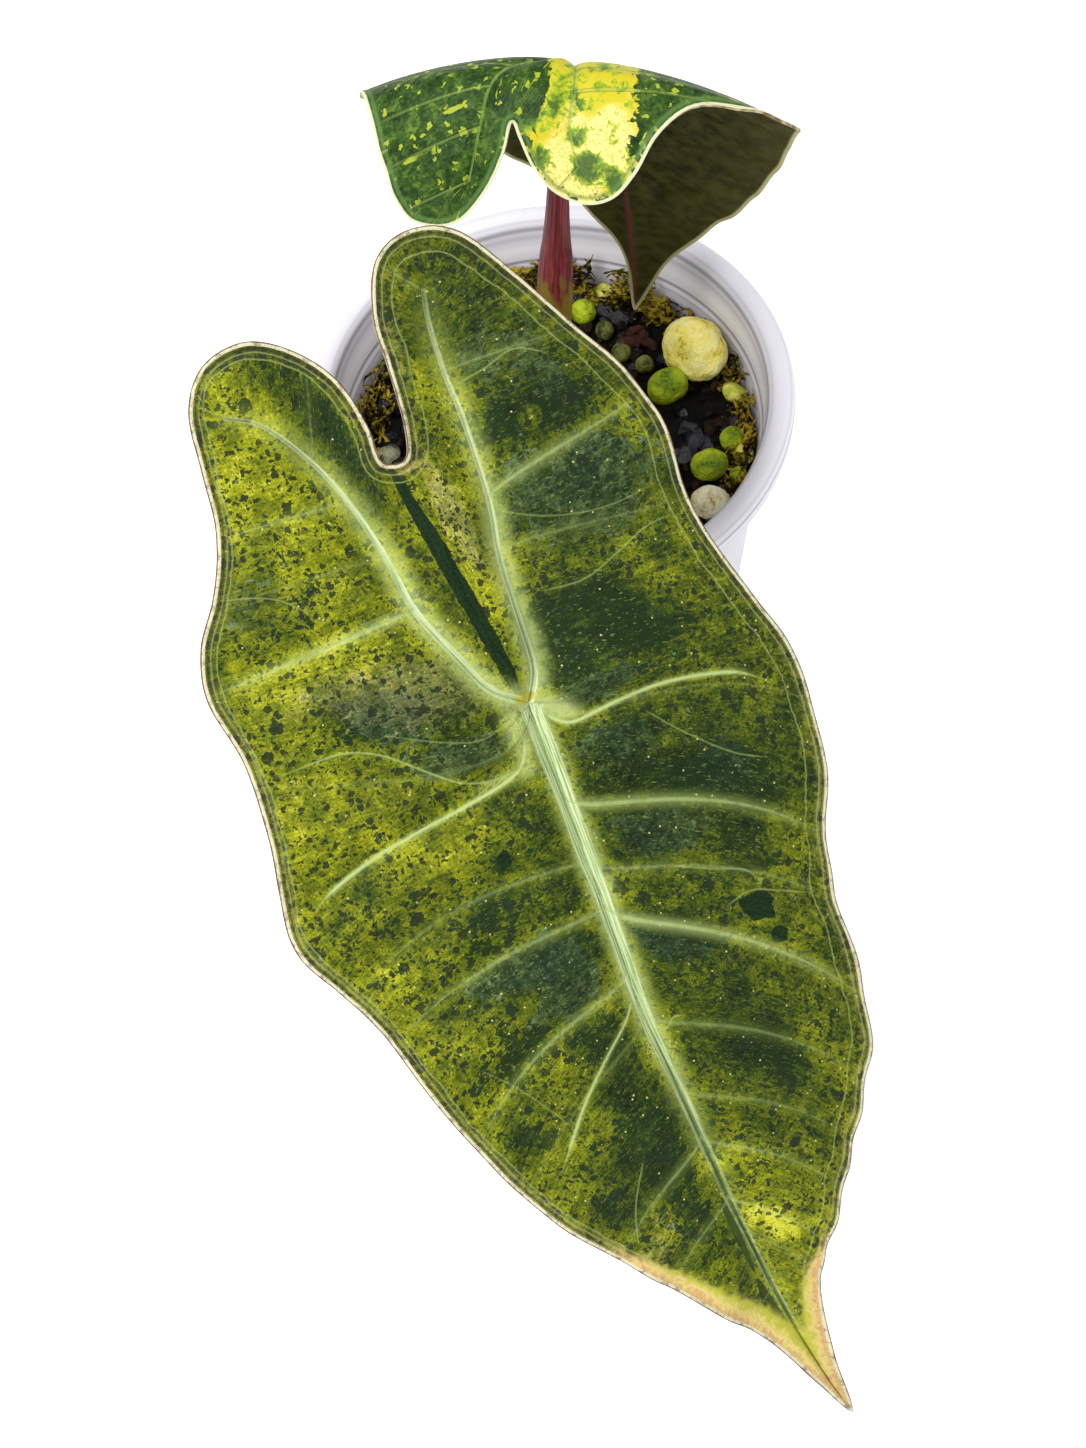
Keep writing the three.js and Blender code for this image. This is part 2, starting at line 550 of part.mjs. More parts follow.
add('pot', potBody(), 0xe9e9ee, 0.35);
add('substrate', soilBody(), 0x1c1916, 0.9);
STONES.forEach((stone, number) => add(stone.name, closedBody(stoneBody(stone, number, 0)), stone.color, 0.6));
add('stem', stemBody(), 0x6a4a3a, 0.7);
add('stalk_back', shaved(backStalk, BACK_LEAF, BACK_STEP), 0x6e3540, 0.5);
add('stalk_front', shaved(frontStalk, FRONT_LEAF, FRONT_STEP), 0x6e4a3c, 0.5);
add('blade_back', bladeSolid(BACK_LEAF, BACK_STEP, bladeTop, bladeBottom), 0x2f5a1c, 0.45);
add('blade_front', bladeSolid(FRONT_LEAF, FRONT_STEP, bladeTop, bladeBottom), 0x7a8a2a, 0.45);

export default plant;
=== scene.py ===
# %% [markdown]
# # A young variegated alocasia in a milky nursery cup
#
# The real plant has two leaves, a big one that hangs over the front of its cup and a smaller
# one that is folded over the top of its stalk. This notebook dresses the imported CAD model: the
# model comes in first as a fixed frame, and each piece is then built over the CAD piece that it
# stands for. Lengths are in metres. Leaf plans are drawn in millimetres, as on graph paper.

# %% Load the frame
import bpy
import math
import random
import numpy as np
from mathutils import Matrix, Vector


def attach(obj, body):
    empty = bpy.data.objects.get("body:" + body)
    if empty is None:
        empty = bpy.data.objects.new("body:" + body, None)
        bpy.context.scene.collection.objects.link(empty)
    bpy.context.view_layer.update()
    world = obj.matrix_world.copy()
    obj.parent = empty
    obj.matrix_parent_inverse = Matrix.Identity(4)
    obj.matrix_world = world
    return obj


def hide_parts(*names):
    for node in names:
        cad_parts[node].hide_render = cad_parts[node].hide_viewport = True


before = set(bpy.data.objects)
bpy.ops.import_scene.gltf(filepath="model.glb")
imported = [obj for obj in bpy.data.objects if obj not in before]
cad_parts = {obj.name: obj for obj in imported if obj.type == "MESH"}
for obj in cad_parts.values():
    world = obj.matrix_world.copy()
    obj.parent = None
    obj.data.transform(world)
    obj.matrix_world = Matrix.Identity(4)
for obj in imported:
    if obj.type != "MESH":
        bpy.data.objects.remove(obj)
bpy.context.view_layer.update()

MM = 0.001
print("CAD nodes:", len(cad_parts))

# %% [markdown]
# ## Camera and light
#
# The photograph looks down at 61 degrees with a slight tilt of the camera, from less than half
# a metre away, so that the front leaf looks large. A 60 mm lens on a 36 mm high picture gives
# that view. The light is one wide soft lamp from the upper left, a fainter one from the right,
# and an evenly white surrounding, as in a light tent.

# %% Camera
CAMERA_AT = (-0.01337, -0.34515, 0.56668)
LOOK_DOWN = math.radians(61)
CAMERA_ROLL = math.radians(-9)
LENS, PICTURE_HEIGHT = 60, 36

bpy.ops.object.select_all(action="DESELECT")
bpy.ops.object.camera_add()
camera = bpy.context.object
camera.name = "photo_camera"
camera.data.lens = LENS
camera.data.sensor_fit = "VERTICAL"
camera.data.sensor_height = PICTURE_HEIGHT
camera.matrix_world = (Matrix.Translation(CAMERA_AT)
                       @ Matrix.Rotation(math.radians(90) - LOOK_DOWN, 4, "X")
                       @ Matrix.Rotation(CAMERA_ROLL, 4, "Z"))
bpy.context.scene.camera = camera
bpy.context.scene.view_settings.view_transform = "Standard"
print("Camera at", CAMERA_AT, "looking down", round(math.degrees(LOOK_DOWN)), "degrees")

# %% Lamps and surrounding
SURROUND_COLOUR, SURROUND_STRENGTH = (0.98, 0.99, 1, 1), 0.66


def soft_lamp(name, place, aim, width, power):
    """A square lamp at a place, turned towards a point."""
    bpy.ops.object.light_add(type="AREA", location=place)
    lamp = bpy.context.object
    lamp.name = name
    lamp.data.size = width
    lamp.data.energy = power
    lamp.rotation_euler = (Vector(aim) - Vector(place)).to_track_quat("-Z", "Y").to_euler()


soft_lamp("key_lamp", (-0.6, -0.45, 1.1), (0, -0.05, 0.12), width=0.7, power=15)
soft_lamp("fill_lamp", (0.9, 0.1, 0.8), (0, -0.05, 0.1), width=0.9, power=4)

surround = bpy.data.worlds.new("white_surround")
surround.use_nodes = True
surround.node_tree.nodes["Background"].inputs["Color"].default_value = SURROUND_COLOUR
surround.node_tree.nodes["Background"].inputs["Strength"].default_value = SURROUND_STRENGTH
bpy.context.scene.world = surround
print("Two lamps and a white surrounding")

# %% [markdown]
# ## Helpers for finishes
#
# A finish is a tree of nodes that ends in one Principled surface. In the shader editor each node
# is dragged in and wired by hand. Here a small function stands for each kind of node, so that a
# finish reads as a recipe: a value is either a plain number or colour, or the output of a node.

# %% A new finish and its wires
def wire(tree, socket, value):
    if isinstance(value, bpy.types.NodeSocket):
        tree.links.new(value, socket)
    elif hasattr(value, "__len__") and len(value) == 3 and socket.type == "RGBA":
        socket.default_value = (*value, 1)
    else:
        socket.default_value = value


def new_finish(name, roughness=0.5, **constants):
    """A new material with its tree and its Principled surface."""
    material = bpy.data.materials.new(name)
    material.use_nodes = True
    surface = material.node_tree.nodes["Principled BSDF"]
    surface.inputs["Roughness"].default_value = roughness
    for socket, value in constants.items():
        surface.inputs[socket.replace("_", " ")].default_value = value
    print("Finish:", name)
    return material, material.node_tree, surface


# %% Values and colours
def sums(tree, how, a, b=0.0, c=0.0):
    """One Math node."""
    node = tree.nodes.new("ShaderNodeMath")
    node.operation = how
    for socket, value in zip(node.inputs, (a, b, c)):
        wire(tree, socket, value)
    return node.outputs[0]


def times(tree, a, b):
    """The product of two values."""
    return sums(tree, "MULTIPLY", a, b)


def fade(tree, value, none, full):
    """0 where the value is at none, 1 where it is at full, and a smooth step in between."""
    node = tree.nodes.new("ShaderNodeMapRange")
    node.interpolation_type = "SMOOTHSTEP"
    for socket, number in (("Value", value), ("From Min", none), ("From Max", full)):
        wire(tree, node.inputs[socket], number)
    return node.outputs["Result"]


def lay_over(tree, amount, under, over):
    """One colour laid over another by an amount."""
    node = tree.nodes.new("ShaderNodeMix")
    node.data_type = "RGBA"
    factor, first_colour, second_colour = node.inputs[0], node.inputs[6], node.inputs[7]
    for socket, value in zip((factor, first_colour, second_colour), (amount, under, over)):
        wire(tree, socket, value)
    return node.outputs[2]


def palette(tree, value, stops):
    """A Color Ramp through (place, colour) stops."""
    node = tree.nodes.new("ShaderNodeValToRGB")
    wire(tree, node.inputs["Fac"], value)
    elements = node.color_ramp.elements
    while len(elements) < len(stops):
        elements.new(1)
    for element, (place, colour) in zip(elements, stops):
        element.position = place
        element.color = (*colour, 1)
    return node.outputs["Color"]


# %% Places and measures on a piece
def object_place(tree, stretch=(1, 1, 1)):
    """Object coordinates in millimetres, stretched by three factors."""
    place = tree.nodes.new("ShaderNodeTexCoord").outputs["Object"]
    mapping = tree.nodes.new("ShaderNodeMapping")
    mapping.inputs["Scale"].default_value = [factor / MM for factor in stretch]
    wire(tree, mapping.inputs["Vector"], place)
    return mapping.outputs["Vector"]


def map_place(tree, layer, stretch=(1, 1, 1)):
    """A piece's own map, stretched by three factors."""
    node = tree.nodes.new("ShaderNodeUVMap")
    node.uv_map = layer
    mapping = tree.nodes.new("ShaderNodeMapping")
    mapping.inputs["Scale"].default_value = stretch
    wire(tree, mapping.inputs["Vector"], node.outputs["UV"])
    return mapping.outputs["Vector"]


def measured(tree, name):
    """A value that the piece's own points carry."""
    node = tree.nodes.new("ShaderNodeAttribute")
    node.attribute_name = name
    return node.outputs["Fac"]


def object_height(tree):
    """The height of a place above the floor, in metres."""
    split = tree.nodes.new("ShaderNodeSeparateXYZ")
    wire(tree, split.inputs["Vector"], tree.nodes.new("ShaderNodeTexCoord").outputs["Object"])
    return split.outputs["Z"]


# %% Patterns and relief
SPOT_BORDER = 0.03


def noise(tree, place, scale, detail=2.0, rough=0.5, warp=0.0):
    """Cloudy noise between 0 and 1. The scale counts features per millimetre."""
    node = tree.nodes.new("ShaderNodeTexNoise")
    for socket, value in (("Vector", place), ("Scale", scale), ("Detail", detail),
                          ("Roughness", rough), ("Distortion", warp)):
        wire(tree, node.inputs[socket], value)
    return node.outputs["Fac"]


def cells(tree, place, scale, feature="F1"):
    """A Voronoi pattern: distance to a seed point, or to a cell's edge."""
    node = tree.nodes.new("ShaderNodeTexVoronoi")
    node.feature = feature
    wire(tree, node.inputs["Vector"], place)
    wire(tree, node.inputs["Scale"], scale)
    return node


def blots(tree, place, scale, limit):
    """Irregular spots, where a noise is over a limit."""
    return fade(tree, noise(tree, place, scale, 3, 0.6), limit, limit + SPOT_BORDER)


def bell(tree, value, middle, width):
    """1 where the value is at the middle, falling softly to 0 a width away on both sides."""
    away = sums(tree, "ABSOLUTE", sums(tree, "SUBTRACT", value, middle))
    return fade(tree, away, width, 0)


def relief_bump(tree, surface, height, depth):
    """Bump from a height, whose full range is depth deep in metres."""
    node = tree.nodes.new("ShaderNodeBump")
    node.inputs["Distance"].default_value = depth
    wire(tree, node.inputs["Height"], height)
    wire(tree, surface.inputs["Normal"], node.outputs["Normal"])


# %% [markdown]
# ### The floor
#
# The photograph shows no ground, only an even white. A very wide pale plane with a little glow of
# its own gives that, and still takes the soft shadow that holds the cup down.

# %% Floor
FLOOR_WIDTH = 6
FLOOR_GLOW = 0.3

bpy.ops.object.select_all(action="DESELECT")
bpy.ops.mesh.primitive_plane_add(size=FLOOR_WIDTH)
floor = bpy.context.object
floor.name = "paper_floor"
paper, tree, surface = new_finish("white_paper", roughness=0.9, Emission_Strength=FLOOR_GLOW)
surface.inputs["Emission Color"].default_value = (1, 1, 1, 1)
wire(tree, surface.inputs["Base Color"],
     lay_over(tree, noise(tree, object_place(tree), 0.02), (0.93, 0.93, 0.93), (0.95, 0.95, 0.95)))
floor.data.materials.append(paper)
print("Floor", FLOOR_WIDTH, "m wide")

# %% [markdown]
# ## The cup
#
# The cup is one thin wall of milky plastic, blown or injected in a round mould: it widens
# upwards, steps out at a ledge, and ends in a rolled lip. A round thing is spun from half of
# its outline, which is quicker and truer than shaping a cylinder. The outline is extruded point
# by point and spun once round the middle, and five drain holes are cut through its floor.

# %% Spin the cup
CUP_STEPS = 144
CUP_OUTLINE = [
    (0, 0), (38.5, 0), (40.5, 0.1), (41.6, 0.6), (42, 1.6), (46.6, 45), (51.2, 89.2), (51.9, 90.6),
    (52.9, 100.8), (53.3, 102), (56.7, 101.9), (57.4, 101.2), (57.6, 98.2), (58, 97.9), (58.3, 98.2),
    (58.5, 101.2), (58.3, 102.4), (57.6, 103.4), (56.3, 104), (54.6, 104), (53.3, 103.4), (52.5, 102.4),
    (51.9, 100.8), (51, 91.2), (50.6, 90.3), (50.1, 89.2), (45.5, 45), (40.9, 1.9), (40.2, 1.6), (0, 1.6)]
DRAIN_COUNT, DRAIN_CIRCLE, DRAIN_RADIUS, PUNCH_LENGTH = 5, 28, 3.2, 8
# Points nearer to each other than this, in mm, are joined.
WELD = 0.02


def only(piece):
    """Selects this piece and nothing else."""
    bpy.ops.object.select_all(action="DESELECT")
    piece.select_set(True)
    bpy.context.view_layer.objects.active = piece


def start_piece(name):
    """The object that was just added gets its name, and its place goes into its mesh."""
    piece = bpy.context.object
    piece.name = piece.data.name = name
    bpy.ops.object.transform_apply(location=True, rotation=True, scale=True)
    return piece


def finish_piece(piece, material, slot, *nodes, angle=40):
    """Smooth shading, one material, the body and the CAD nodes it stands for. The slot is not used."""
    only(piece)
    bpy.ops.object.shade_smooth_by_angle(angle=math.radians(angle))
    if material:
        piece.data.materials.clear()
        piece.data.materials.append(material)
    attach(piece, "root")
    if nodes:
        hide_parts(*nodes)
    print(piece.name, "-", len(piece.data.polygons), "faces")


def spin_outline(name, outline, steps):
    """A turned piece from (radius, height) points in millimetres."""
    bpy.ops.object.select_all(action="DESELECT")
    (radius, height), following = outline[0], outline[1:]
    bpy.ops.mesh.primitive_plane_add(size=MM, location=(radius * MM, 0, height * MM))
    piece = start_piece(name)
    bpy.ops.object.mode_set(mode="EDIT")
    bpy.ops.mesh.merge(type="CENTER")
    here = (radius, height)
    for there in following:
        step = ((there[0] - here[0]) * MM, 0, (there[1] - here[1]) * MM)
        bpy.ops.mesh.extrude_region_move(TRANSFORM_OT_translate={"value": step})
        here = there
    bpy.ops.mesh.select_all(action="SELECT")
    bpy.ops.mesh.spin(steps=steps, angle=2 * math.pi, center=(0, 0, 0), axis=(0, 0, 1))
    bpy.ops.mesh.select_all(action="SELECT")
    bpy.ops.mesh.remove_doubles(threshold=WELD * MM)
    bpy.ops.mesh.normals_make_consistent(inside=False)
    bpy.ops.object.mode_set(mode="OBJECT")
    return piece


cup = spin_outline("nursery_cup", CUP_OUTLINE, CUP_STEPS)
for hole in range(DRAIN_COUNT):
    turn = 2 * math.pi * (hole + 0.5) / DRAIN_COUNT
    place = (DRAIN_CIRCLE * MM * math.cos(turn), DRAIN_CIRCLE * MM * math.sin(turn), 0)
    bpy.ops.object.select_all(action="DESELECT")
    bpy.ops.mesh.primitive_cylinder_add(vertices=32, radius=DRAIN_RADIUS * MM, depth=PUNCH_LENGTH * MM,
                                        location=place)
    punch = bpy.context.object
    cut = cup.modifiers.new("drain", "BOOLEAN")
    cut.operation, cut.solver, cut.object = "DIFFERENCE", "EXACT", punch
    only(cup)
    bpy.ops.object.modifier_apply(modifier="drain")
    bpy.data.objects.remove(punch)
print("Cup wall with", DRAIN_COUNT, "drain holes")

# %% [markdown]
# ### Milky plastic
#
# The plastic is white but lets light through: what stands inside shows as a soft shade. A
# Principled surface with some transmission and some subsurface scattering does that. Below the
# ledge the wall is also painted darker, a painted shade for the dark mix behind it. Where the
# wall bends, the eye looks along the plastic instead of through it, and the bend shows as a
# grey ring: these rings are painted shade in the colour, and a bright band over the ledge is a
# painted highlight. They lie at known heights, so the colour reads the height of each place.

# %% Milky plastic
# Painted shade rings where the wall bends and a painted highlight band on the slope over the
# ledge: height in mm, half width in mm, and how dark, or how bright.
PAINTED_SHADE_RINGS = [(103.2, 0.45, 0.30), (101.4, 1.1, 0.85), (98.9, 1.6, 0.35), (91.0, 0.75, 1.0),
              (89.3, 0.5, 0.5)]
PAINTED_HIGHLIGHT_RINGS = [(95, 2.5, 0.7)]
LEDGE_HEIGHT = 90

milky, tree, surface = new_finish("milky_plastic", roughness=0.30, Transmission_Weight=0.10,
                                  Subsurface_Weight=0.15, Subsurface_Scale=0.001, IOR=1.46,
                                  Specular_IOR_Level=0.6)
cloud = noise(tree, object_place(tree), 0.04, detail=3)
mould = noise(tree, object_place(tree, (0.02, 0.02, 1.2)), 0.5, detail=3)
height = object_height(tree)
white = lay_over(tree, cloud, (0.78, 0.76, 0.83), (0.84, 0.83, 0.88))
# Painted shade: the wall below the ledge is darkened for the dark mix seen through it.
painted_shade_below_ledge = fade(tree, height, LEDGE_HEIGHT * MM, (LEDGE_HEIGHT - 1) * MM)
white = lay_over(tree, times(tree, painted_shade_below_ledge, 0.45), white, (0.50, 0.47, 0.50))
# Painted shade rings and a painted highlight band are laid over the white, by height.
for rings, painted_ring_colour in ((PAINTED_SHADE_RINGS, (0.36, 0.34, 0.40)), (PAINTED_HIGHLIGHT_RINGS, (0.92, 0.91, 0.95))):
    for middle, width, amount in rings:
        ring = times(tree, bell(tree, height, middle * MM, width * MM), amount)
        white = lay_over(tree, ring, white, painted_ring_colour)
wire(tree, surface.inputs["Base Color"], white)
wire(tree, surface.inputs["Roughness"], fade(tree, cloud, -0.9, 2.6))
relief_bump(tree, surface, sums(tree, "MULTIPLY_ADD", noise(tree, object_place(tree), 1.4), 0.2, mould),
            0.10 * MM)
finish_piece(cup, milky, "pot", "pot", angle=35)

# %% [markdown]
# ## The potting mix
#
# The cup is filled with a loose, near-black mix: charcoal, bark crumbs, pebbles of fired clay,
# and a collar of brown moss along the wall. Such a heap is built in layers. First comes a plug
# that fills the cup, spun and then roughened with a Displace modifier. Then one crumb of each
# kind is modelled and copied a few hundred times by a seeded rule.

# %% Soil plug
SOIL_OUTLINE = [(0, 1.95), (40.3, 1.95), (48.7, 82)]
SOIL_LEVEL, SOIL_STEPS = 84, 96
SOIL_RINGS = [(48.4, 83.2), (44, 83.4)] + [(radius, 83.6) for radius in (38, 32, 26, 20, 14, 7, 0)]
TOP_FACES_ABOVE, TOP_POINTS_ABOVE = 83, 82.5
# Size and height of the lumps on the mix, first the coarse ones and then the fine ones.
SOIL_LUMPS = ((5, 4.5), (1.6, 1.6))


def roughen(piece, size, strength, group="", swell=0):
    """Pushes a piece's points in and out with a cloud pattern, and all of them out by a swell."""
    only(piece)
    clouds = bpy.data.textures.new(piece.name + "_clouds", "CLOUDS")
    clouds.noise_scale = size * MM
    push = piece.modifiers.new("roughen", "DISPLACE")
    push.texture = clouds
    push.texture_coords = "GLOBAL"
    push.strength = strength * MM
    push.mid_level = 0.5 - swell / strength
    push.vertex_group = group
    bpy.ops.object.modifier_apply(modifier="roughen")


soil = spin_outline("soil_plug", SOIL_OUTLINE + SOIL_RINGS, SOIL_STEPS)
only(soil)
bpy.ops.object.mode_set(mode="EDIT")
bpy.ops.mesh.select_all(action="DESELECT")
bpy.ops.object.mode_set(mode="OBJECT")
for face in soil.data.polygons:
    face.select = face.center.z > TOP_FACES_ABOVE * MM
bpy.ops.object.mode_set(mode="EDIT")
bpy.ops.mesh.subdivide(number_cuts=2)
bpy.ops.object.mode_set(mode="OBJECT")
top = soil.vertex_groups.new(name="top")
top.add([v.index for v in soil.data.vertices if v.co.z > TOP_POINTS_ABOVE * MM], 1, "REPLACE")
for size, strength in SOIL_LUMPS:
    roughen(soil, size, strength, group="top")
print("Soil plug roughened over", SOIL_LEVEL, "mm")

# %% Finishes for soil, charcoal and bark
def crumbly(name, dark, light, scale, roughness, shine=0.12, contrast=(0.45, 0.9)):
    """A crumb finish between two colours, with a grainy bump."""
    material, tree, surface = new_finish(name, roughness=roughness, Specular_IOR_Level=shine)
    place = object_place(tree)
    grain = noise(tree, place, scale, detail=6, rough=0.65)
    patch = noise(tree, place, 0.13, detail=2)
    shade = sums(tree, "MULTIPLY_ADD", patch, 0.6, times(tree, grain, 0.7))
    wire(tree, surface.inputs["Base Color"], lay_over(tree, fade(tree, shade, *contrast), dark, light))
    relief_bump(tree, surface, grain, 0.6 * MM)
    return material


wet_soil = crumbly("wet_soil", (0.0008, 0.0008, 0.0008), (0.007, 0.0055, 0.004), 0.9, 0.7)
charcoal = crumbly("charcoal", (0.001, 0.001, 0.002), (0.026, 0.025, 0.046), 1.6, 0.13, shine=0.7)
bark = crumbly("wet_bark", (0.002, 0.001, 0.001), (0.040, 0.022, 0.006), 0.7, 0.6)
finish_piece(soil, wet_soil, "mix", "substrate", angle=60)

# %% One crumb, copied
CRUMB_FIELD, MIX_RADIUS = 46.5, 48.3
STEM_PLACE, STEM_CLEAR = (-2.2, -4.9), 11
# A little over a full turn, in radians.
ANY_TURN = 6.3
CRUMB_CUTS, CUT_DEPTH = 5, 0.3


def rough_crumb(name, seed):
    """An angular crumb of about 1 mm: a ball of few faces, cut flat on five slanting sides."""
    rule = random.Random(seed)
    bpy.ops.object.select_all(action="DESELECT")
    bpy.ops.mesh.primitive_ico_sphere_add(subdivisions=2, radius=0.5 * MM)
    crumb = start_piece(name)
    for _ in range(CRUMB_CUTS):
        way = Vector((rule.uniform(-1, 1), rule.uniform(-1, 1), rule.uniform(-1, 1))).normalized()
        bpy.ops.object.mode_set(mode="EDIT")
        bpy.ops.mesh.select_all(action="SELECT")
        bpy.ops.mesh.bisect(plane_co=way * CUT_DEPTH * MM, plane_no=way, use_fill=True, clear_outer=True)
        bpy.ops.object.mode_set(mode="OBJECT")
    return crumb


def mesh_points(piece):
    """A piece's points as rows of three numbers, and its faces."""
    points = np.empty(len(piece.data.vertices) * 3)
    piece.data.vertices.foreach_get("co", points)
    return points.reshape(-1, 3), [tuple(face.vertices) for face in piece.data.polygons]


def move_points(piece, points):
    """Gives a piece's points new places."""
    piece.data.vertices.foreach_set("co", points.ravel())
    piece.data.update()


def mesh_piece(name, points, faces):
    """A new piece from points and faces."""
    mesh = bpy.data.meshes.new(name)
    mesh.from_pydata(points.tolist(), [], faces)
    piece = bpy.data.objects.new(name, mesh)
    bpy.context.collection.objects.link(piece)
    return piece


def scatter(name, originals, places, material):
    """Copies of the originals, each at (place, size, turn), as one piece."""
    points, faces, count = [], [], 0
    for number, (place, size, turn) in enumerate(places):
        shape, sides = originals[number % len(originals)]
        moved = (shape * size) @ np.array(turn.to_matrix()).T + np.array(place)
        points.append(moved)
        faces += [tuple(corner + count for corner in side) for side in sides]
        count += len(moved)
    piece = mesh_piece(name, np.vstack(points), faces)
    finish_piece(piece, material, "mix", angle=25)
    return piece


def crumb_places(count, sizes, flatness, seed):
    """Places on the mix, away from the stem: (place, three sizes, turn)."""
    rule = random.Random(seed)
    places = []
    while len(places) < count:
        around, out = rule.uniform(0, 2 * math.pi), CRUMB_FIELD * math.sqrt(rule.random())
        x, y = out * math.cos(around), out * math.sin(around)
        if math.hypot(x - STEM_PLACE[0], y - STEM_PLACE[1]) < STEM_CLEAR:
            continue
        size = rule.uniform(*sizes)
        out_limit = MIX_RADIUS - 0.6 * size
        if out > out_limit:
            x, y = x * out_limit / out, y * out_limit / out
        turn = (Matrix.Rotation(rule.uniform(0, ANY_TURN), 3, "Z")
                @ Matrix.Rotation(rule.uniform(-0.7, 0.7), 3, "X"))
        shape = np.array([size, size * rule.uniform(0.6, 1), size * rule.uniform(*flatness)])
        height = SOIL_LEVEL + rule.uniform(-0.6, 1.2)
        places.append(((x * MM, y * MM, height * MM), shape, turn.to_quaternion()))
    return places


crumbs = []
for seed in (1, 2, 3, 4, 5):
    crumb = rough_crumb("crumb", seed)
    crumbs.append(mesh_points(crumb))
    bpy.data.objects.remove(crumb)
scatter("charcoal_lumps", crumbs, crumb_places(150, (2.4, 7), (0.5, 0.9), 11), charcoal)
scatter("bark_crumbs", crumbs, crumb_places(260, (1.2, 4.5), (0.3, 0.8), 12), bark)
scatter("soil_grains", crumbs, crumb_places(420, (0.7, 2.2), (0.5, 1), 13), wet_soil)

# %% [markdown]
# ### Moss along the wall
#
# Long-fibred moss is packed against the wall and has turned brown. Each strand is a thin tube
# that winds a little, with short side leaves that a few flattened rings stand for. One strand is
# swept along a curved line, and the seeded rule lays the strands along the wall in bands, where
# the photograph shows them.

# %% Sweep a tube along a line
def sweep(centres, radii, sides, squeeze=1.0):
    """Points and faces of a closed tube through centre points, all in the same unit."""
    centres = np.asarray(centres, float)
    along = np.gradient(centres, axis=0)
    along /= np.linalg.norm(along, axis=1)[:, None]
    side = np.cross(along, (0.31, 0.17, 0.94))
    side /= np.linalg.norm(side, axis=1)[:, None]
    other = np.cross(along, side)
    turn = np.arange(sides) * 2 * np.pi / sides
    ring = (np.cos(turn)[None, :, None] * side[:, None, :]
            + squeeze * np.sin(turn)[None, :, None] * other[:, None, :])
    points = (centres[:, None, :] + ring * np.asarray(radii, float)[:, None, None]).reshape(-1, 3)
    faces = []
    for i in range(len(centres) - 1):
        for k in range(sides):
            n = (k + 1) % sides
            faces.append((i * sides + k, i * sides + n, (i + 1) * sides + n, (i + 1) * sides + k))
    faces.append(tuple(reversed(range(sides))))
    last = (len(centres) - 1) * sides
    faces.append(tuple(last + k for k in range(sides)))
    return points, faces


STRAND_THIN, STRAND_SPREAD, STRAND_END, STRAND_SIDES = 0.025, 0.075, 0.012, 5


def moss_strand(rule):
    """A winding, flattened strand about 1 unit long and 0.12 wide."""
    steps = 7
    bend = [rule.uniform(-0.25, 0.25) for _ in range(4)]
    line = [(i / (steps - 1) - 0.5, bend[0] * math.sin(3 * i / steps) + bend[1] * math.sin(7 * i / steps),
             bend[2] * math.sin(2.5 * i / steps) + 0.5 * bend[3] * math.sin(8 * i / steps))
            for i in range(steps)]
    widths = [STRAND_THIN + STRAND_SPREAD * rule.random() for _ in range(steps)]
    widths[0] = widths[-1] = STRAND_END
    return sweep(np.array(line) * MM, np.array(widths) * MM, STRAND_SIDES, squeeze=0.4)


moss_rule = random.Random(21)
strands = [moss_strand(moss_rule) for _ in range(8)]
print(len(strands), "kinds of strand,", len(strands[0][1]), "faces each")

# %% Lay the strands along the wall
# Bands along the wall, in degrees from +X: from, to, inner radius, climb up the wall, strands.
MOSS_BANDS = [(96, 138, 41, 12, 200), (52, 96, 39.5, 9.5, 320), (30, 52, 43, 4, 60),
              (-34, 26, 43.5, 5, 190), (138, 184, 41, 5.5, 150), (184, 326, 44, 3, 120)]
# Stones that the moss leaves free: x, y and the clear radius.
MOSS_GAPS = [(18.4, 41.6, 3.0), (12.8, 36.4, 2.6), (45.6, 4.8, 3.0)]
MOSS_RADIUS = 49
WALL_HEIGHTS, WALL_RADII = (84, 89.2, 91.2, 100.8), (49.2, 49.7, 50.6, 51.5)

moss_places = []
for first, last, inner, climb, count in MOSS_BANDS:
    for _ in range(count):
        around = math.radians(moss_rule.uniform(first, last))
        rise = moss_rule.random() ** 1.4
        out = inner + (MOSS_RADIUS - inner) * (0.25 + 0.75 * rise) * moss_rule.uniform(0.7, 1)
        height = SOIL_LEVEL + climb * rise
        length = moss_rule.uniform(4, 9)
        heading = around + math.pi / 2 + moss_rule.gauss(0, 0.6)
        tilt = moss_rule.gauss(0, 0.35)
        turn = Matrix.Rotation(heading, 3, "Z") @ Matrix.Rotation(tilt, 3, "Y")
        x, y = out * math.cos(around), out * math.sin(around)
        if any(math.hypot(x - stone_x, y - stone_y) < clear for stone_x, stone_y, clear in MOSS_GAPS):
            continue
        moss_places.append(((x * MM, y * MM, height * MM),
                            np.array([length, length * 0.8, length * 0.7]), turn.to_quaternion()))

moss = crumbly("brown_moss", (0.008, 0.005, 0.001), (0.46, 0.33, 0.03), 0.8, 0.7, shine=0.03,
               contrast=(0.57, 0.80))
moss_piece = scatter("moss_strands", strands, moss_places, moss)
points, _ = mesh_points(moss_piece)
out = np.hypot(points[:, 0], points[:, 1])
wall = np.interp(points[:, 2] / MM, WALL_HEIGHTS, WALL_RADII) * MM
points[:, :2] *= np.minimum(1, wall / out)[:, None]
move_points(moss_piece, points)
print(len(moss_places), "strands, kept inside the cup")

# %% [markdown]
# ### A dry scrap
#
# Where the tip of the back leaf meets the mix lies a crumpled brown scrap of an old leaf
# sheath. A handful of the same crumbs, larger and flatter, with a papery brown finish, gives it.

# %% Dry scrap
SCRAP_COUNT, SCRAP_PLACE, SCRAP_SIZE = 9, (25.5, 26, 85.6), (6.5, 3.2, 1.6)

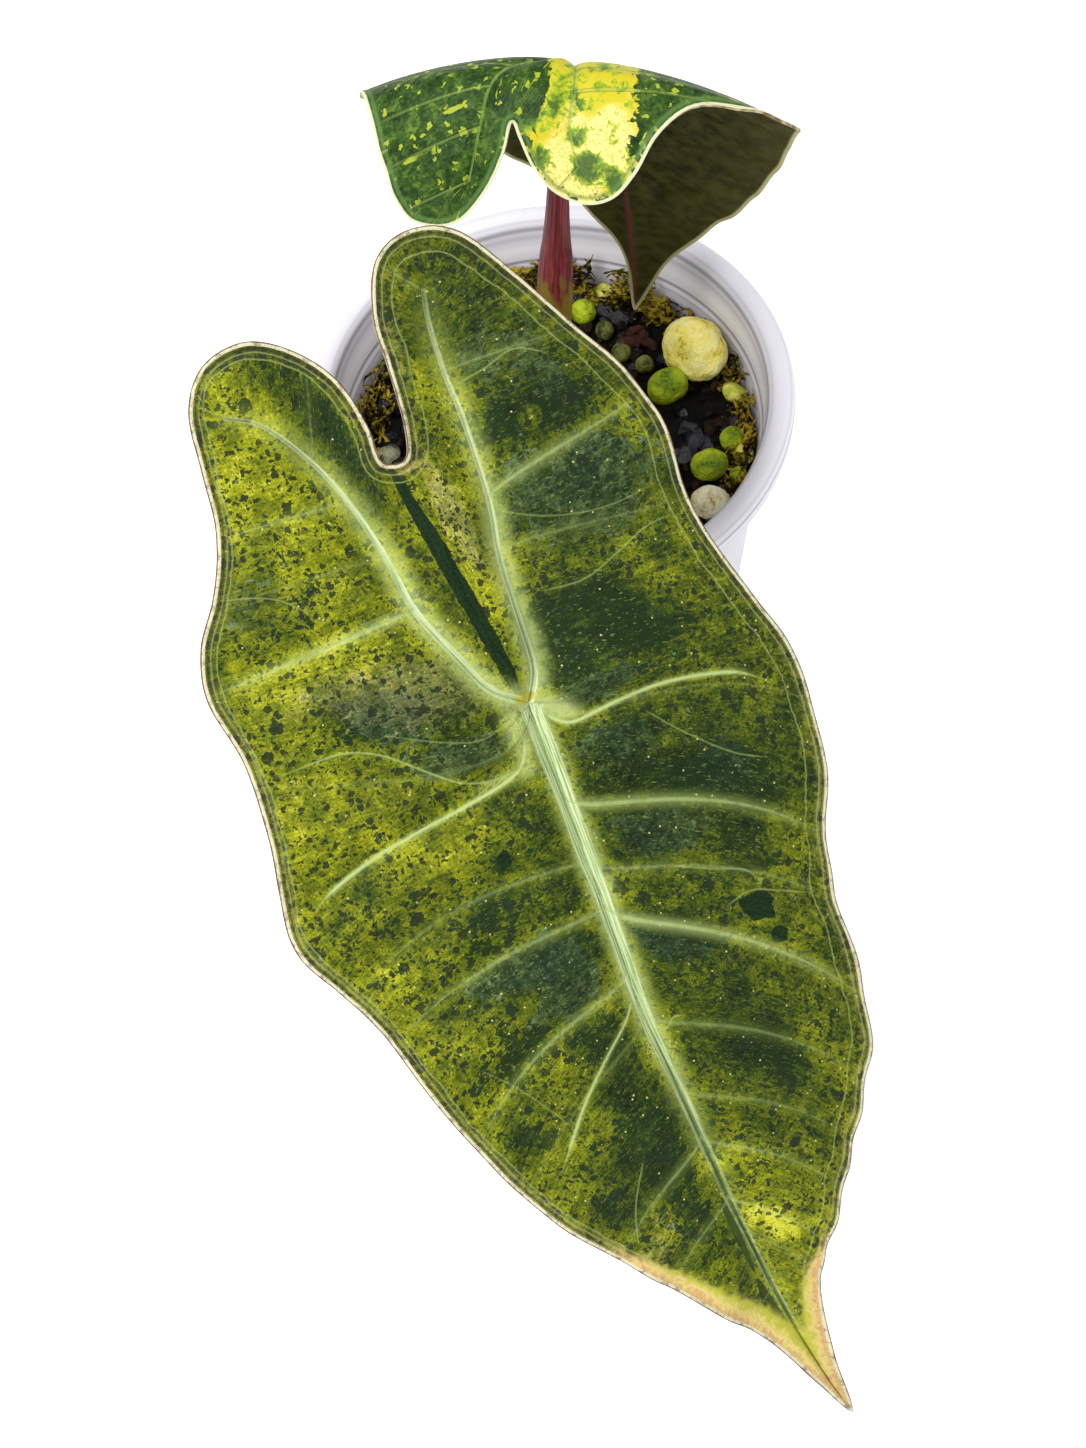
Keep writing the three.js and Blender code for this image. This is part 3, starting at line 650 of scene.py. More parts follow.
scrap_rule = random.Random(31)
scrap_places = []
for _ in range(SCRAP_COUNT):
    shift = Vector((scrap_rule.gauss(0, 2.4), scrap_rule.gauss(0, 2.0), scrap_rule.uniform(-0.5, 1.4)))
    turn = (Matrix.Rotation(scrap_rule.uniform(0, ANY_TURN), 3, "Z")
            @ Matrix.Rotation(scrap_rule.gauss(0, 0.7), 3, "X"))
    shape = np.array(SCRAP_SIZE) * scrap_rule.uniform(0.6, 1)
    scrap_places.append(((Vector(SCRAP_PLACE) + shift) * MM, shape, turn.to_quaternion()))
dry = crumbly("dry_scrap", (0.008, 0.003, 0.002), (0.055, 0.018, 0.010), 0.5, 0.6)
scatter("dry_scrap", crumbs, scrap_places, dry)

# %% [markdown]
# ## The stones
#
# Fifteen pebbles lie on the mix. Each is already a rough ball of few faces in the CAD, so its
# mesh is copied, its loose triangles are joined, and a subdivision rounds it before a Displace
# modifier gives it small dents. The finishes differ: cream, moss green and grey.

# %% Round a CAD stone
STONE_WELD, ROUND_LEVELS = 0.01, 3
MOTTLE_SIZE, STAIN_BORDER = 0.17, 0.12


def round_copy(name, node, levels, size, strength, swell=0):
    """A rounded, slightly dented copy of a CAD piece, at the same place."""
    bpy.ops.object.select_all(action="DESELECT")
    piece = bpy.data.objects.new(name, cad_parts[node].data.copy())
    bpy.context.collection.objects.link(piece)
    piece.matrix_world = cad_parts[node].matrix_world
    only(piece)
    bpy.ops.object.transform_apply(location=True, rotation=True, scale=True)
    bpy.ops.object.mode_set(mode="EDIT")
    bpy.ops.mesh.select_all(action="SELECT")
    bpy.ops.mesh.remove_doubles(threshold=STONE_WELD * MM)
    bpy.ops.object.mode_set(mode="OBJECT")
    smooth = piece.modifiers.new("round", "SUBSURF")
    smooth.levels = smooth.render_levels = levels
    bpy.ops.object.modifier_apply(modifier="round")
    roughen(piece, size, strength, swell=swell)
    return piece


def dimple(piece, centre, radius, depth):
    """Presses a round dent into the upper side of a piece."""
    points, _ = mesh_points(piece)
    away = np.hypot(points[:, 0] - centre[0] * MM, points[:, 1] - centre[1] * MM) / (radius * MM)
    upper = points[:, 2] > points[:, 2].mean()
    points[upper, 2] -= depth * MM * np.exp(-away[upper] ** 2)
    move_points(piece, points)


def pebble_finish(name, dark, light, stain, stain_from):
    """Fired clay or pumice: two mottled colours, a stain in its hollows and fine pores."""
    material, tree, surface = new_finish(name, roughness=0.55, Specular_IOR_Level=0.25)
    place = object_place(tree)
    mottle = noise(tree, place, MOTTLE_SIZE, detail=5, rough=0.6, warp=0.4)
    pores = noise(tree, place, 1.6, detail=3, rough=0.6)
    colour = lay_over(tree, fade(tree, mottle, 0.35, 0.65), dark, light)
    hollow = sums(tree, "ADD", mottle, times(tree, pores, 0.5))
    stained = fade(tree, hollow, stain_from + STAIN_BORDER, stain_from)
    wire(tree, surface.inputs["Base Color"], lay_over(tree, stained, colour, stain))
    relief_bump(tree, surface, sums(tree, "MULTIPLY_ADD", mottle, 6, pores), 0.5 * MM)
    return material


cream_pebble = pebble_finish("cream_pebble", (0.96, 0.80, 0.12), (1.0, 0.93, 0.36),
                             (0.42, 0.40, 0.04), 0.54)
bone_pebble = pebble_finish("bone_pebble", (0.96, 0.85, 0.50), (1.0, 0.96, 0.76),
                            (0.60, 0.46, 0.18), 0.54)
moss_pebble = pebble_finish("moss_pebble", (0.15, 0.24, 0.004), (0.48, 0.58, 0.015),
                            (0.03, 0.07, 0.002), 0.54)
lime_pebble = pebble_finish("lime_pebble", (0.40, 0.46, 0.02), (0.86, 0.80, 0.16),
                            (0.08, 0.12, 0.004), 0.50)
dim_pebble = pebble_finish("dim_pebble", (0.035, 0.045, 0.004), (0.24, 0.25, 0.05),
                           (0.012, 0.016, 0.003), 0.56)
grey_pebble = pebble_finish("grey_pebble", (0.12, 0.13, 0.07), (0.38, 0.38, 0.22),
                            (0.03, 0.03, 0.015), 0.58)

# %% Shape and finish the fifteen stones
STONES = {
    "stone_big_cream": cream_pebble, "stone_green_large": moss_pebble, "stone_yellow_rim": lime_pebble,
    "stone_green_right": moss_pebble, "stone_cracked": bone_pebble, "stone_green_small": moss_pebble,
    "stone_lime_wall": lime_pebble, "stone_green_wall": moss_pebble, "stone_yellow_back": lime_pebble,
    "stone_green_back": moss_pebble, "stone_pale_inner": dim_pebble, "stone_pale_middle": dim_pebble,
    "stone_pale_outer": dim_pebble, "stone_cream_back": bone_pebble, "stone_grey_sinus": grey_pebble}
# Dents: centre, radius and depth. The cracked stone has a row of them.
DENTS = {
    "stone_big_cream": [((38.6, 18.6), 1.0, 1.8), ((33.5, 13.0), 2.4, 1.4), ((41.5, 13.5), 2.0, 0.9)],
    "stone_cracked": [((34.6 + 0.35 * math.sin(step), -29.6 + 0.62 * step), 0.42, 1.0)
                      for step in range(9)]}
# A rounded copy shrinks, so it is blown up a little. Its roughness has a size and a depth.
SWELL, USUAL_SWELL = {"stone_big_cream": 1.3, "stone_green_large": 1.1}, 0.4
ROUGHNESS, USUAL_ROUGHNESS = {"stone_big_cream": (5, 1.8)}, (2.5, 0.5)
for node, material in STONES.items():
    pebble = round_copy(node.replace("stone", "pebble"), node, ROUND_LEVELS,
                        *ROUGHNESS.get(node, USUAL_ROUGHNESS), swell=SWELL.get(node, USUAL_SWELL))
    for centre, radius, depth in DENTS.get(node, []):
        dimple(pebble, centre, radius, depth)
    slot = "stone_pale" if material in (cream_pebble, bone_pebble) else "stone_green"
    finish_piece(pebble, material, slot, node, angle=180)

# %% [markdown]
# ## Stem and leaf stalks
#
# Both stalks rise from one short stem that is sunk in the mix. A stalk is a long round rod that
# tapers upwards and bends. At its foot it is wrapped in a sheath, whose edge shows as a small
# step. The rod is swept along the CAD's own line, with more rings and a map of its own, so that
# the streaks of its finish run along it.

# %% A smooth line through points
def smooth_line(points, places, closed=False):
    """Places on the smooth line through points. Places count the points, from 0."""
    points = np.asarray(points, float)
    places = np.asarray(places, float)
    if closed:
        first = np.floor(places).astype(int)
        around = [points[(first + k) % len(points)] for k in (-1, 0, 1, 2)]
    else:
        first = np.clip(np.floor(places).astype(int), 0, len(points) - 2)
        longer = np.vstack([2 * points[0] - points[1], points, 2 * points[-1] - points[-2]])
        around = [longer[first + k] for k in (0, 1, 2, 3)]
    p0, p1, p2, p3 = around
    t = (places - first)[..., None]
    leave, arrive = (p2 - p0) / 2, (p3 - p1) / 2
    return (p1 + leave * t + (3 * (p2 - p1) - 2 * leave - arrive) * t ** 2
            + (2 * (p1 - p2) + leave + arrive) * t ** 3)


def evenly(points, count):
    """The same line as count points that lie evenly along it."""
    fine = smooth_line(points, np.linspace(0, len(points) - 1, 40 * len(points)))
    gone = np.concatenate([[0], np.cumsum(np.linalg.norm(np.diff(fine, axis=0), axis=1))])
    even = np.linspace(0, gone[-1], count)
    return np.stack([np.interp(even, gone, fine[:, k]) for k in range(3)], axis=1)


# %% Stalks with sheaths
STALK_SIDES, STALK_RINGS = 40, 150
# How far the sheath swells the rod, its open edge more, and its upper lip on top of that.
SHEATH_SWELL, EDGE_SWELL, LIP_SWELL = 0.05, 0.07, 0.22
STALKS = {
    "stalk_back": dict(
        line=[(0.2, -1, 90.35), (0.2, -1, 97), (2.2, 0.4, 116), (5.4, 2.8, 146), (9.2, 5.3, 180),
              (13.1, 7.4, 198.6)],
        radii=[4.1, 4.0, 3.9, 3.7, 2.6, 2.4, 2.3], sheath_end=0.56, sheath_side=math.radians(190)),
    "stalk_front": dict(
        line=[(-3.7, -8.7, 90.35), (-3.7, -8.7, 97), (-4.3, -13, 114), (-5.6, -27, 134), (-8.4, -52, 148),
              (-12, -82, 149.5), (-15.2, -106, 149.5), (-15.8, -110.2, 151.2)],
        radii=[3.6, 3.6, 3.6, 3.4, 3, 2.7, 2.5, 2.5], sheath_end=0.35, sheath_side=math.radians(90)),
}


def add_map(piece, name, place_of_corner):
    """A map on a piece: one flat place for each corner of each face."""
    layer = piece.data.uv_layers.new(name=name)
    layer.data.foreach_set("uv", np.asarray(place_of_corner, float).ravel())


def stalk_rod(name, line, radii, sheath_end, sheath_side):
    """A tapering rod with a sheath round its lower part."""
    rings = STALK_RINGS
    centres = evenly(np.array(line, float), rings)
    place = np.linspace(0, 1, rings)
    radius = smooth_line(np.array(radii, float)[:, None], place * (len(radii) - 1))[:, 0]
    points, faces = sweep(centres * MM, radius * MM, STALK_SIDES)
    turn = np.tile(np.arange(STALK_SIDES) * 2 * np.pi / STALK_SIDES, rings)
    along = np.repeat(place, STALK_SIDES)
    middle = np.repeat(centres, STALK_SIDES, axis=0) * MM
    wrapped = 1 / (1 + np.exp((along - sheath_end) / 0.006))
    edge = np.exp(-((np.cos(turn - sheath_side) - 1) / 0.09) ** 2)
    lip = np.exp(-((along - sheath_end) / 0.018) ** 2)
    ridges = 0.012 * np.sin(9 * turn) + 0.008 * np.sin(17 * turn + 1)
    swell = 1 + SHEATH_SWELL * wrapped + edge * (EDGE_SWELL * wrapped + LIP_SWELL * lip) + ridges
    points = middle + (points - middle) * swell[:, None]
    piece = mesh_piece(name, points, faces)
    length = np.linalg.norm(np.diff(centres, axis=0), axis=1).sum()
    corners = [(k, ring) for ring in range(rings - 1) for side in range(STALK_SIDES)
               for k, ring in ((side, ring), (side + 1, ring), (side + 1, ring + 1), (side, ring + 1))]
    corners += [(k, 0) for k in range(STALK_SIDES)] + [(k, rings - 1) for k in range(STALK_SIDES)]
    add_map(piece, "along", [(k / STALK_SIDES * 20, ring / (rings - 1) * length) for k, ring in corners])
    return piece


# %% [markdown]
# ### Stalk finish
#
# The stalks are maroon with darker streaks along them and olive patches near the foot. The map
# runs round the rod in one direction and along it in millimetres in the other, so a noise that
# is squeezed round the rod becomes streaks.

# %% Stalk finish
def streaked_stalk(name, dark, middle, light, patch, patch_from):
    """Three colours in streaks along the stalk, and patches that cover it towards its foot."""
    material, tree, surface = new_finish(name, roughness=0.40, Specular_IOR_Level=0.15)
    streaks = noise(tree, map_place(tree, "along", (1.6, 0.05, 1)), 1, detail=4, rough=0.6)
    fine = noise(tree, map_place(tree, "along", (5, 0.16, 1)), 1, detail=3)
    shade = sums(tree, "MULTIPLY_ADD", fine, 0.4, times(tree, streaks, 0.8))
    colour = palette(tree, shade, [(0.40, dark), (0.58, middle), (0.78, light)])
    low = noise(tree, map_place(tree, "along", (0.35, 0.09, 1)), 1, detail=3)
    foot = fade(tree, object_height(tree), patch_from + 34 * MM, patch_from)
    green = fade(tree, sums(tree, "MULTIPLY_ADD", foot, 0.42, times(tree, low, 0.6)), 0.50, 0.62)
    wire(tree, surface.inputs["Base Color"], lay_over(tree, green, colour, patch))
    relief_bump(tree, surface, shade, 0.25 * MM)
    return material


maroon = streaked_stalk("maroon_stalk", (0.012, 0.001, 0.003), (0.11, 0.007, 0.010), (0.26, 0.035, 0.038),
                        (0.16, 0.105, 0.007), 0.128)
for node, shape in STALKS.items():
    finish_piece(stalk_rod(node.replace("stalk", "petiole"), **shape), maroon, "stalk", node, angle=50)

# %% Short stem
stem = round_copy("short_stem", "stem", 2, 3, 0.8)
brown_stem = crumbly("papery_stem", (0.03, 0.016, 0.008), (0.20, 0.12, 0.05), 0.4, 0.7)
finish_piece(stem, brown_stem, "stem", "stem", angle=40)

# %% [markdown]
# ## Leaf blades
#
# A leaf blade is a thin closed sheet with veins, waved edges and puffed-up panels between the
# side veins. Pushing a flat mesh about by hand can't place each vein on the plan of this leaf,
# so the blades are made in mesh code, by the rule that the CAD uses. Rows of points run from
# the ribs to the margin as the side veins do, and a few dozen columns lie across them. Each
# point remembers how far it is from a rib, from a vein and from the margin, in millimetres, and
# the finish paints the veins from those distances.

# %% Rows from the ribs to the margin
ROWS_PER_STEP = 8


def leaf_rows(leaf):
    """Rows as arrays: start, hook, sag and end of each curve, with its length, rib place and vein."""
    rows = []
    for rib, knots in leaf["walk"]:
        line, last = leaf["ribs"][rib], len(leaf["ribs"][rib]) - 1
        for before, after in zip(knots, knots[1:]):
            ends = smooth_line(line, [before[0], after[0]])
            reach = np.linalg.norm(ends[1] - ends[0])
            if before[0] == after[0]:
                reach = abs(after[1] - before[1]) * leaf["fan_step"]
            pieces = max(1, int(reach / leaf["step"] + 0.5)) * ROWS_PER_STEP
            for i in range(pieces):
                station, out, hook, sag = (a + (b - a) * i / pieces for a, b in zip(before[:4], after[:4]))
                vein = before[4] if i == 0 and len(before) > 4 else 0
                nearby = smooth_line(line, np.clip([station - 0.002, station + 0.002], 0, last))
                rows.append((*smooth_line(line, [station])[0], *(nearby[1] - nearby[0]), out, hook, sag,
                             station / last, vein))
    rows = np.array(rows)
    start, way = rows[:, 0:2], rows[:, 2:4]
    way = way / np.linalg.norm(way, axis=1)[:, None]
    end = smooth_line(leaf["outline"], rows[:, 4] % len(leaf["outline"]), closed=True)
    length = np.linalg.norm(end - start, axis=1)
    hook = start + way * (rows[:, 5] * length)[:, None]
    sag = start + (end - start) * 0.6 - way * (rows[:, 6] * length)[:, None]
    return dict(curves=(start, hook, sag, end), length=length, rib_place=rows[:, 7], vein=rows[:, 8])


def along_rows(rows, columns):
    """Flat places of all rows at the given columns, 0 on the rib and 1 at the margin."""
    a, b, c, d = (corner[:, None, :] for corner in rows["curves"])
    s = columns[None, :, None]
    return a * (1 - s) ** 3 + 3 * b * s * (1 - s) ** 2 + 3 * c * s * s * (1 - s) + d * s ** 3


# %% Relief of a blade
WIDE_PANEL = 24
# Below the blade: how deep the ribs are, and how far they and the boss at the joint spread.
RIB_DEPTH, RIB_SPREAD, BOSS_SPREAD = 2.2, 2.4, 6


def panel_swell(rows):
    """How much each row lies in the middle of a panel between two side veins."""
    veins = np.flatnonzero(rows["vein"])
    ends = rows["curves"][3]
    phase, swell = np.zeros(len(ends)), np.zeros(len(ends))
    for first, following in zip(veins, np.roll(veins, -1)):
        span = (following - first) % len(ends)
        inside = (first + np.arange(span)) % len(ends)
        phase[inside] = np.arange(span) / span
        swell[inside] = min(1, np.linalg.norm(ends[first] - ends[following]) / WIDE_PANEL)
    return swell * np.sin(np.pi * phase) ** 2


def blade_height(leaf, rows, columns, flat):
    """Height over the plan: ribs in a valley, quilted panels and a waved margin."""
    from_rib = columns[None, :] * rows["length"][:, None]
    panel = panel_swell(rows)[:, None]
    valley = leaf["valley"] * (1 - np.exp(-(from_rib / leaf["valley_width"]) ** 2))
    droop = -leaf["droop"] * (flat[..., 0] / leaf["half_width"]) ** 2
    quilt = leaf["quilt"] * panel * np.sin(np.pi * np.minimum(1, columns * 1.1))
    return valley + droop + quilt + leaf["wave"] * columns ** 3 * (panel - 0.4)


def under_ridge(rows, columns, flat):
    """How far the ribs stand out below the blade."""
    from_rib = columns[None, :] * rows["length"][:, None]
    ridge = (1 - 0.75 * rows["rib_place"][:, None]) * np.exp(-(from_rib / RIB_SPREAD) ** 2)
    boss = np.exp(-(np.linalg.norm(flat, axis=2) / BOSS_SPREAD) ** 2)
    return RIB_DEPTH * np.maximum(ridge, boss)


# %% Distances on the plan
# Each rib's places across it are shifted by RIB_APART, so that a pattern differs from rib to rib.
RIB_APART = 20
THREAD_REACH = 1.6
# The collector vein runs along the margin, this far inside it, and farther where x is positive.
COLLECTOR_INSIDE, COLLECTOR_SHIFT = 3.8, 0.9


def near_line(places, line):
    """Distance of places from a line, with a sign for its two sides, and how far along it lies."""
    best = np.full(len(places), np.inf)
    sign, along = np.ones(len(places)), np.zeros(len(places))
    for i, (a, b) in enumerate(zip(line[:-1], line[1:])):
        way = b - a
        part = np.clip((places - a) @ way / max(way @ way, 1e-9), 0, 1)
        off = places - a - part[:, None] * way
        away = np.hypot(off[:, 0], off[:, 1])
        closer = away < best
        best[closer] = away[closer]
        sign[closer] = np.sign(way[0] * off[closer, 1] - way[1] * off[closer, 0] + 1e-12)
        along[closer] = (i + part[closer]) / (len(line) - 1)
    return best, sign, along


def patches(places, spots):
    """Soft round patches: (x, y, half length, half width, turn in degrees, amount) each, added up."""
    total = np.zeros(len(places))
    for x, y, long, wide, turn, amount in spots:
        turn = math.radians(turn)
        off = places - (x, y)
        u = (off[:, 0] * math.cos(turn) + off[:, 1] * math.sin(turn)) / long
        v = (off[:, 1] * math.cos(turn) - off[:, 0] * math.sin(turn)) / wide
        total += amount * np.exp(-(u * u + v * v) ** 1.5)
    return total


def keep_nearest(best, away, kept):
    """Where a line is nearer than those before it, its values take the place of the kept ones."""
    closer = away < best
    best[closer] = away[closer]
    for values, new in kept:
        values[closer] = new[closer]


def vein_marks(leaf, rows, flat):
    """What each point knows: its distances from ribs, veins, threads and margin."""
    places = flat.reshape(-1, 2)
    marks = {}
    rib_far, rib_width = np.full(len(places), np.inf), np.ones(len(places))
    rib_side, rib_along, rib_power = (np.zeros(len(places)) for _ in range(3))
    for number, (name, line) in enumerate(leaf["ribs"].items()):
        smooth = smooth_line(line, np.linspace(0, len(line) - 1, 4 * len(line)))
        away, sign, along = near_line(places, smooth)
        widest, thinnest = leaf["rib_widths"][name]
        first, last, left_over = leaf["rib_fades"][name]
        keep_nearest(rib_far, away, [
            (rib_width, widest + (thinnest - widest) * along ** 0.8), (rib_along, along),
            (rib_side, away * sign + RIB_APART * number),
            (rib_power, np.interp(along, [first, last], [1, left_over]))])
    marks["rib_step"], marks["rib_far"] = rib_far / rib_width, rib_far
    marks["rib_side"], marks["rib_along"], marks["rib_power"] = rib_side, rib_along, rib_power
    best, power = np.full(len(places), 99.0), np.zeros(len(places))
    for row in np.flatnonzero(rows["vein"]):
        one = dict(rows, curves=tuple(corner[row:row + 1] for corner in rows["curves"]))
        line = along_rows(one, np.linspace(0, 1, 25))[0]
        away, _, along = near_line(places, line)
        strength = rows["vein"][row]
        fading = (1 - 0.55 * along ** 2) * np.clip((1.02 - along) / 0.14, 0, 1)
        keep_nearest(best, away, [(power, strength * fading)])
    marks["vein_far"], marks["vein_power"] = best, power
    thread, thread_power = np.full(len(places), 9.0), np.zeros(len(places))
    nearest = np.full(len(places), 99.0)
    for strength, *points in leaf["threads"]:
        line = smooth_line(points, np.linspace(0, len(points) - 1, 10 * len(points)))
        away, sign, along = near_line(places, line)
        ends = np.clip(along / 0.08, 0, 1) * np.clip((1 - along) / 0.12, 0, 1)
        keep_nearest(nearest, away, [
            (thread, away * sign), (thread_power, strength * ends * np.exp(-(away / THREAD_REACH) ** 2))])
    marks["thread_far"], marks["thread_power"] = thread, thread_power
    streak = np.full(len(places), -1.0)
    for half_width, *points in leaf["streaks"]:
        line = smooth_line(points, np.linspace(0, len(points) - 1, 10 * len(points)))
        away, _, along = near_line(places, line)
        narrowing = np.sqrt(np.sin(np.pi * np.clip(along, 0.02, 0.98)))
        streak = np.maximum(streak, 1 - away / (half_width * narrowing))
    marks["streak"] = streak
    outline = leaf["outline"]
    edge = smooth_line(outline, np.linspace(0, len(outline), 8 * len(outline)) % len(outline), closed=True)
    marks["margin_far"] = near_line(places, edge)[0]
    shift = COLLECTOR_SHIFT * np.tanh(places[:, 0] / 15)
    marks["collector_far"] = marks["margin_far"] - COLLECTOR_INSIDE - shift
    for name, spots in leaf["patches"].items():
        marks[name] = patches(places, spots) + leaf["base"].get(name, 0)
    return marks


# %% Build a blade
TOP_COLUMNS = np.concatenate([np.linspace(0, 0.06, 6)[:-1], np.linspace(0.06, 0.92, 38)[:-1],
                              np.linspace(0.92, 1, 12)])
UNDER_COLUMNS = np.array([0, 0.02, 0.04, 0.07, 0.11, 0.16, 0.24, 0.34, 0.46, 0.58, 0.7, 0.81, 0.9, 0.96,
                          1])
EDGE_BEAD, BEAD_INSIDE, BEAD_SPREAD = 0.32, 0.45, 0.5
BLADE_WELD = 0.002


def skin(leaf, rows, columns, depth, bead=0.0):
    """One skin of the blade: its flat places and its lifted points, depth below the top."""
    flat = along_rows(rows, columns)
    height = blade_height(leaf, rows, columns, flat)
    from_margin = (1 - columns[None, :]) * rows["length"][:, None]
    height = height + bead * np.exp(-((from_margin - BEAD_INSIDE) / BEAD_SPREAD) ** 2)
    if depth:
        height = height - depth - under_ridge(rows, columns, flat)
    return flat, leaf["lift"](flat[..., 0], flat[..., 1], height)


def blade(name, leaf, thickness):
    """The closed blade with its maps and marks. Slots: 0 top, 1 underside, 2 edge."""
    rows = leaf_rows(leaf)
    count = len(rows["length"])
    top_flat, top = skin(leaf, rows, TOP_COLUMNS, 0, bead=EDGE_BEAD)
    under_flat, under = skin(leaf, rows, UNDER_COLUMNS, thickness)
    t, u = len(TOP_COLUMNS), len(UNDER_COLUMNS)
    points = np.concatenate([top.reshape(-1, 3), under.reshape(-1, 3)])
    flat = np.concatenate([top_flat.reshape(-1, 2), under_flat.reshape(-1, 2)])
    row = np.arange(count)
    faces, slots, lanes = [], [], []
    for first, width, slot in ((0, t, 0), (count * t, u, 1)):
        here = first + row[:, None] * width + np.arange(width - 1)[None, :]
        there = first + ((row + 1) % count)[:, None] * width + np.arange(width - 1)[None, :]
        quads = np.stack([here, here + 1, there + 1, there], axis=2).reshape(-1, 4)
        faces.append(quads[:, ::-1] if slot == 0 else quads)
        slots.append(np.full(len(quads), slot))
        lane = np.repeat(row, width - 1)
        lane = np.stack([lane, lane, lane + 1, lane + 1], axis=1)
        lanes.append(lane[:, ::-1] if slot == 0 else lane)
    rim_top, rim_under = row * t + t - 1, count * t + row * u + u - 1
    rim = [rim_top, rim_under, np.roll(rim_under, -1), np.roll(rim_top, -1)]
    faces.append(np.stack(rim, axis=1)[:, ::-1])
    slots.append(np.full(count, 2))
    lanes.append(np.stack([row, row, row + 1, row + 1], axis=1)[:, ::-1])
    faces, slots, lanes = map(np.concatenate, (faces, slots, lanes))
    piece = mesh_piece(name, points * MM, faces.tolist())
    piece.data.polygons.foreach_set("material_index", slots.astype(np.int32))
    add_map(piece, "plan", flat[faces.ravel()])
    spread = np.concatenate([np.tile(TOP_COLUMNS, count), np.tile(UNDER_COLUMNS, count)])
    longest = np.concatenate([np.repeat(rows["length"], t), np.repeat(rows["length"], u)])
    add_map(piece, "lanes", np.stack([lanes.ravel() * 1.0, (spread * longest)[faces.ravel()]], axis=1))
    for mark, values in vein_marks(leaf, rows, flat).items():
        layer = piece.data.attributes.new(mark, "FLOAT", "POINT")
        layer.data.foreach_set("value", values.astype(np.float32))
    only(piece)
    bpy.ops.object.mode_set(mode="EDIT")
    bpy.ops.mesh.select_all(action="SELECT")
    bpy.ops.mesh.remove_doubles(threshold=BLADE_WELD * MM)
    bpy.ops.mesh.normals_make_consistent(inside=False)
    bpy.ops.object.mode_set(mode="OBJECT")
    return piece

# %% [markdown]
# ## Front leaf
#
# The big leaf is drawn flat, in millimetres: x across it, y from the petiole joint to the tip.
# Then it is lifted into its place: it leans towards the viewer and bends down a little towards
# its tip. The plan also carries the side veins' strengths, fine threads, and soft patches of
# lighter and darker tissue, as a painter would block them in.

# %% Front leaf plan
FRONT_JOINT = np.array([-15.6, -111.2, 154])
FRONT_TURN, FRONT_SLOPE, FRONT_BEND = map(math.radians, (20, 38, 0.06))


def lift_front(x, y, height):
    """Flat places and a height over them, to places in the scene, in millimetres."""
    across = np.array([math.cos(FRONT_TURN), math.sin(FRONT_TURN), 0])
    ahead = np.array([math.sin(FRONT_TURN), -math.cos(FRONT_TURN), 0])
    slope = FRONT_SLOPE + FRONT_BEND * y
    run = (np.sin(slope) - math.sin(FRONT_SLOPE)) / FRONT_BEND + np.sin(slope) * height
    rise = (np.cos(slope) - math.cos(FRONT_SLOPE)) / FRONT_BEND + np.cos(slope) * height
    return (FRONT_JOINT + x[..., None] * across + run[..., None] * ahead
            + rise[..., None] * np.array([0, 0, 1.0]))


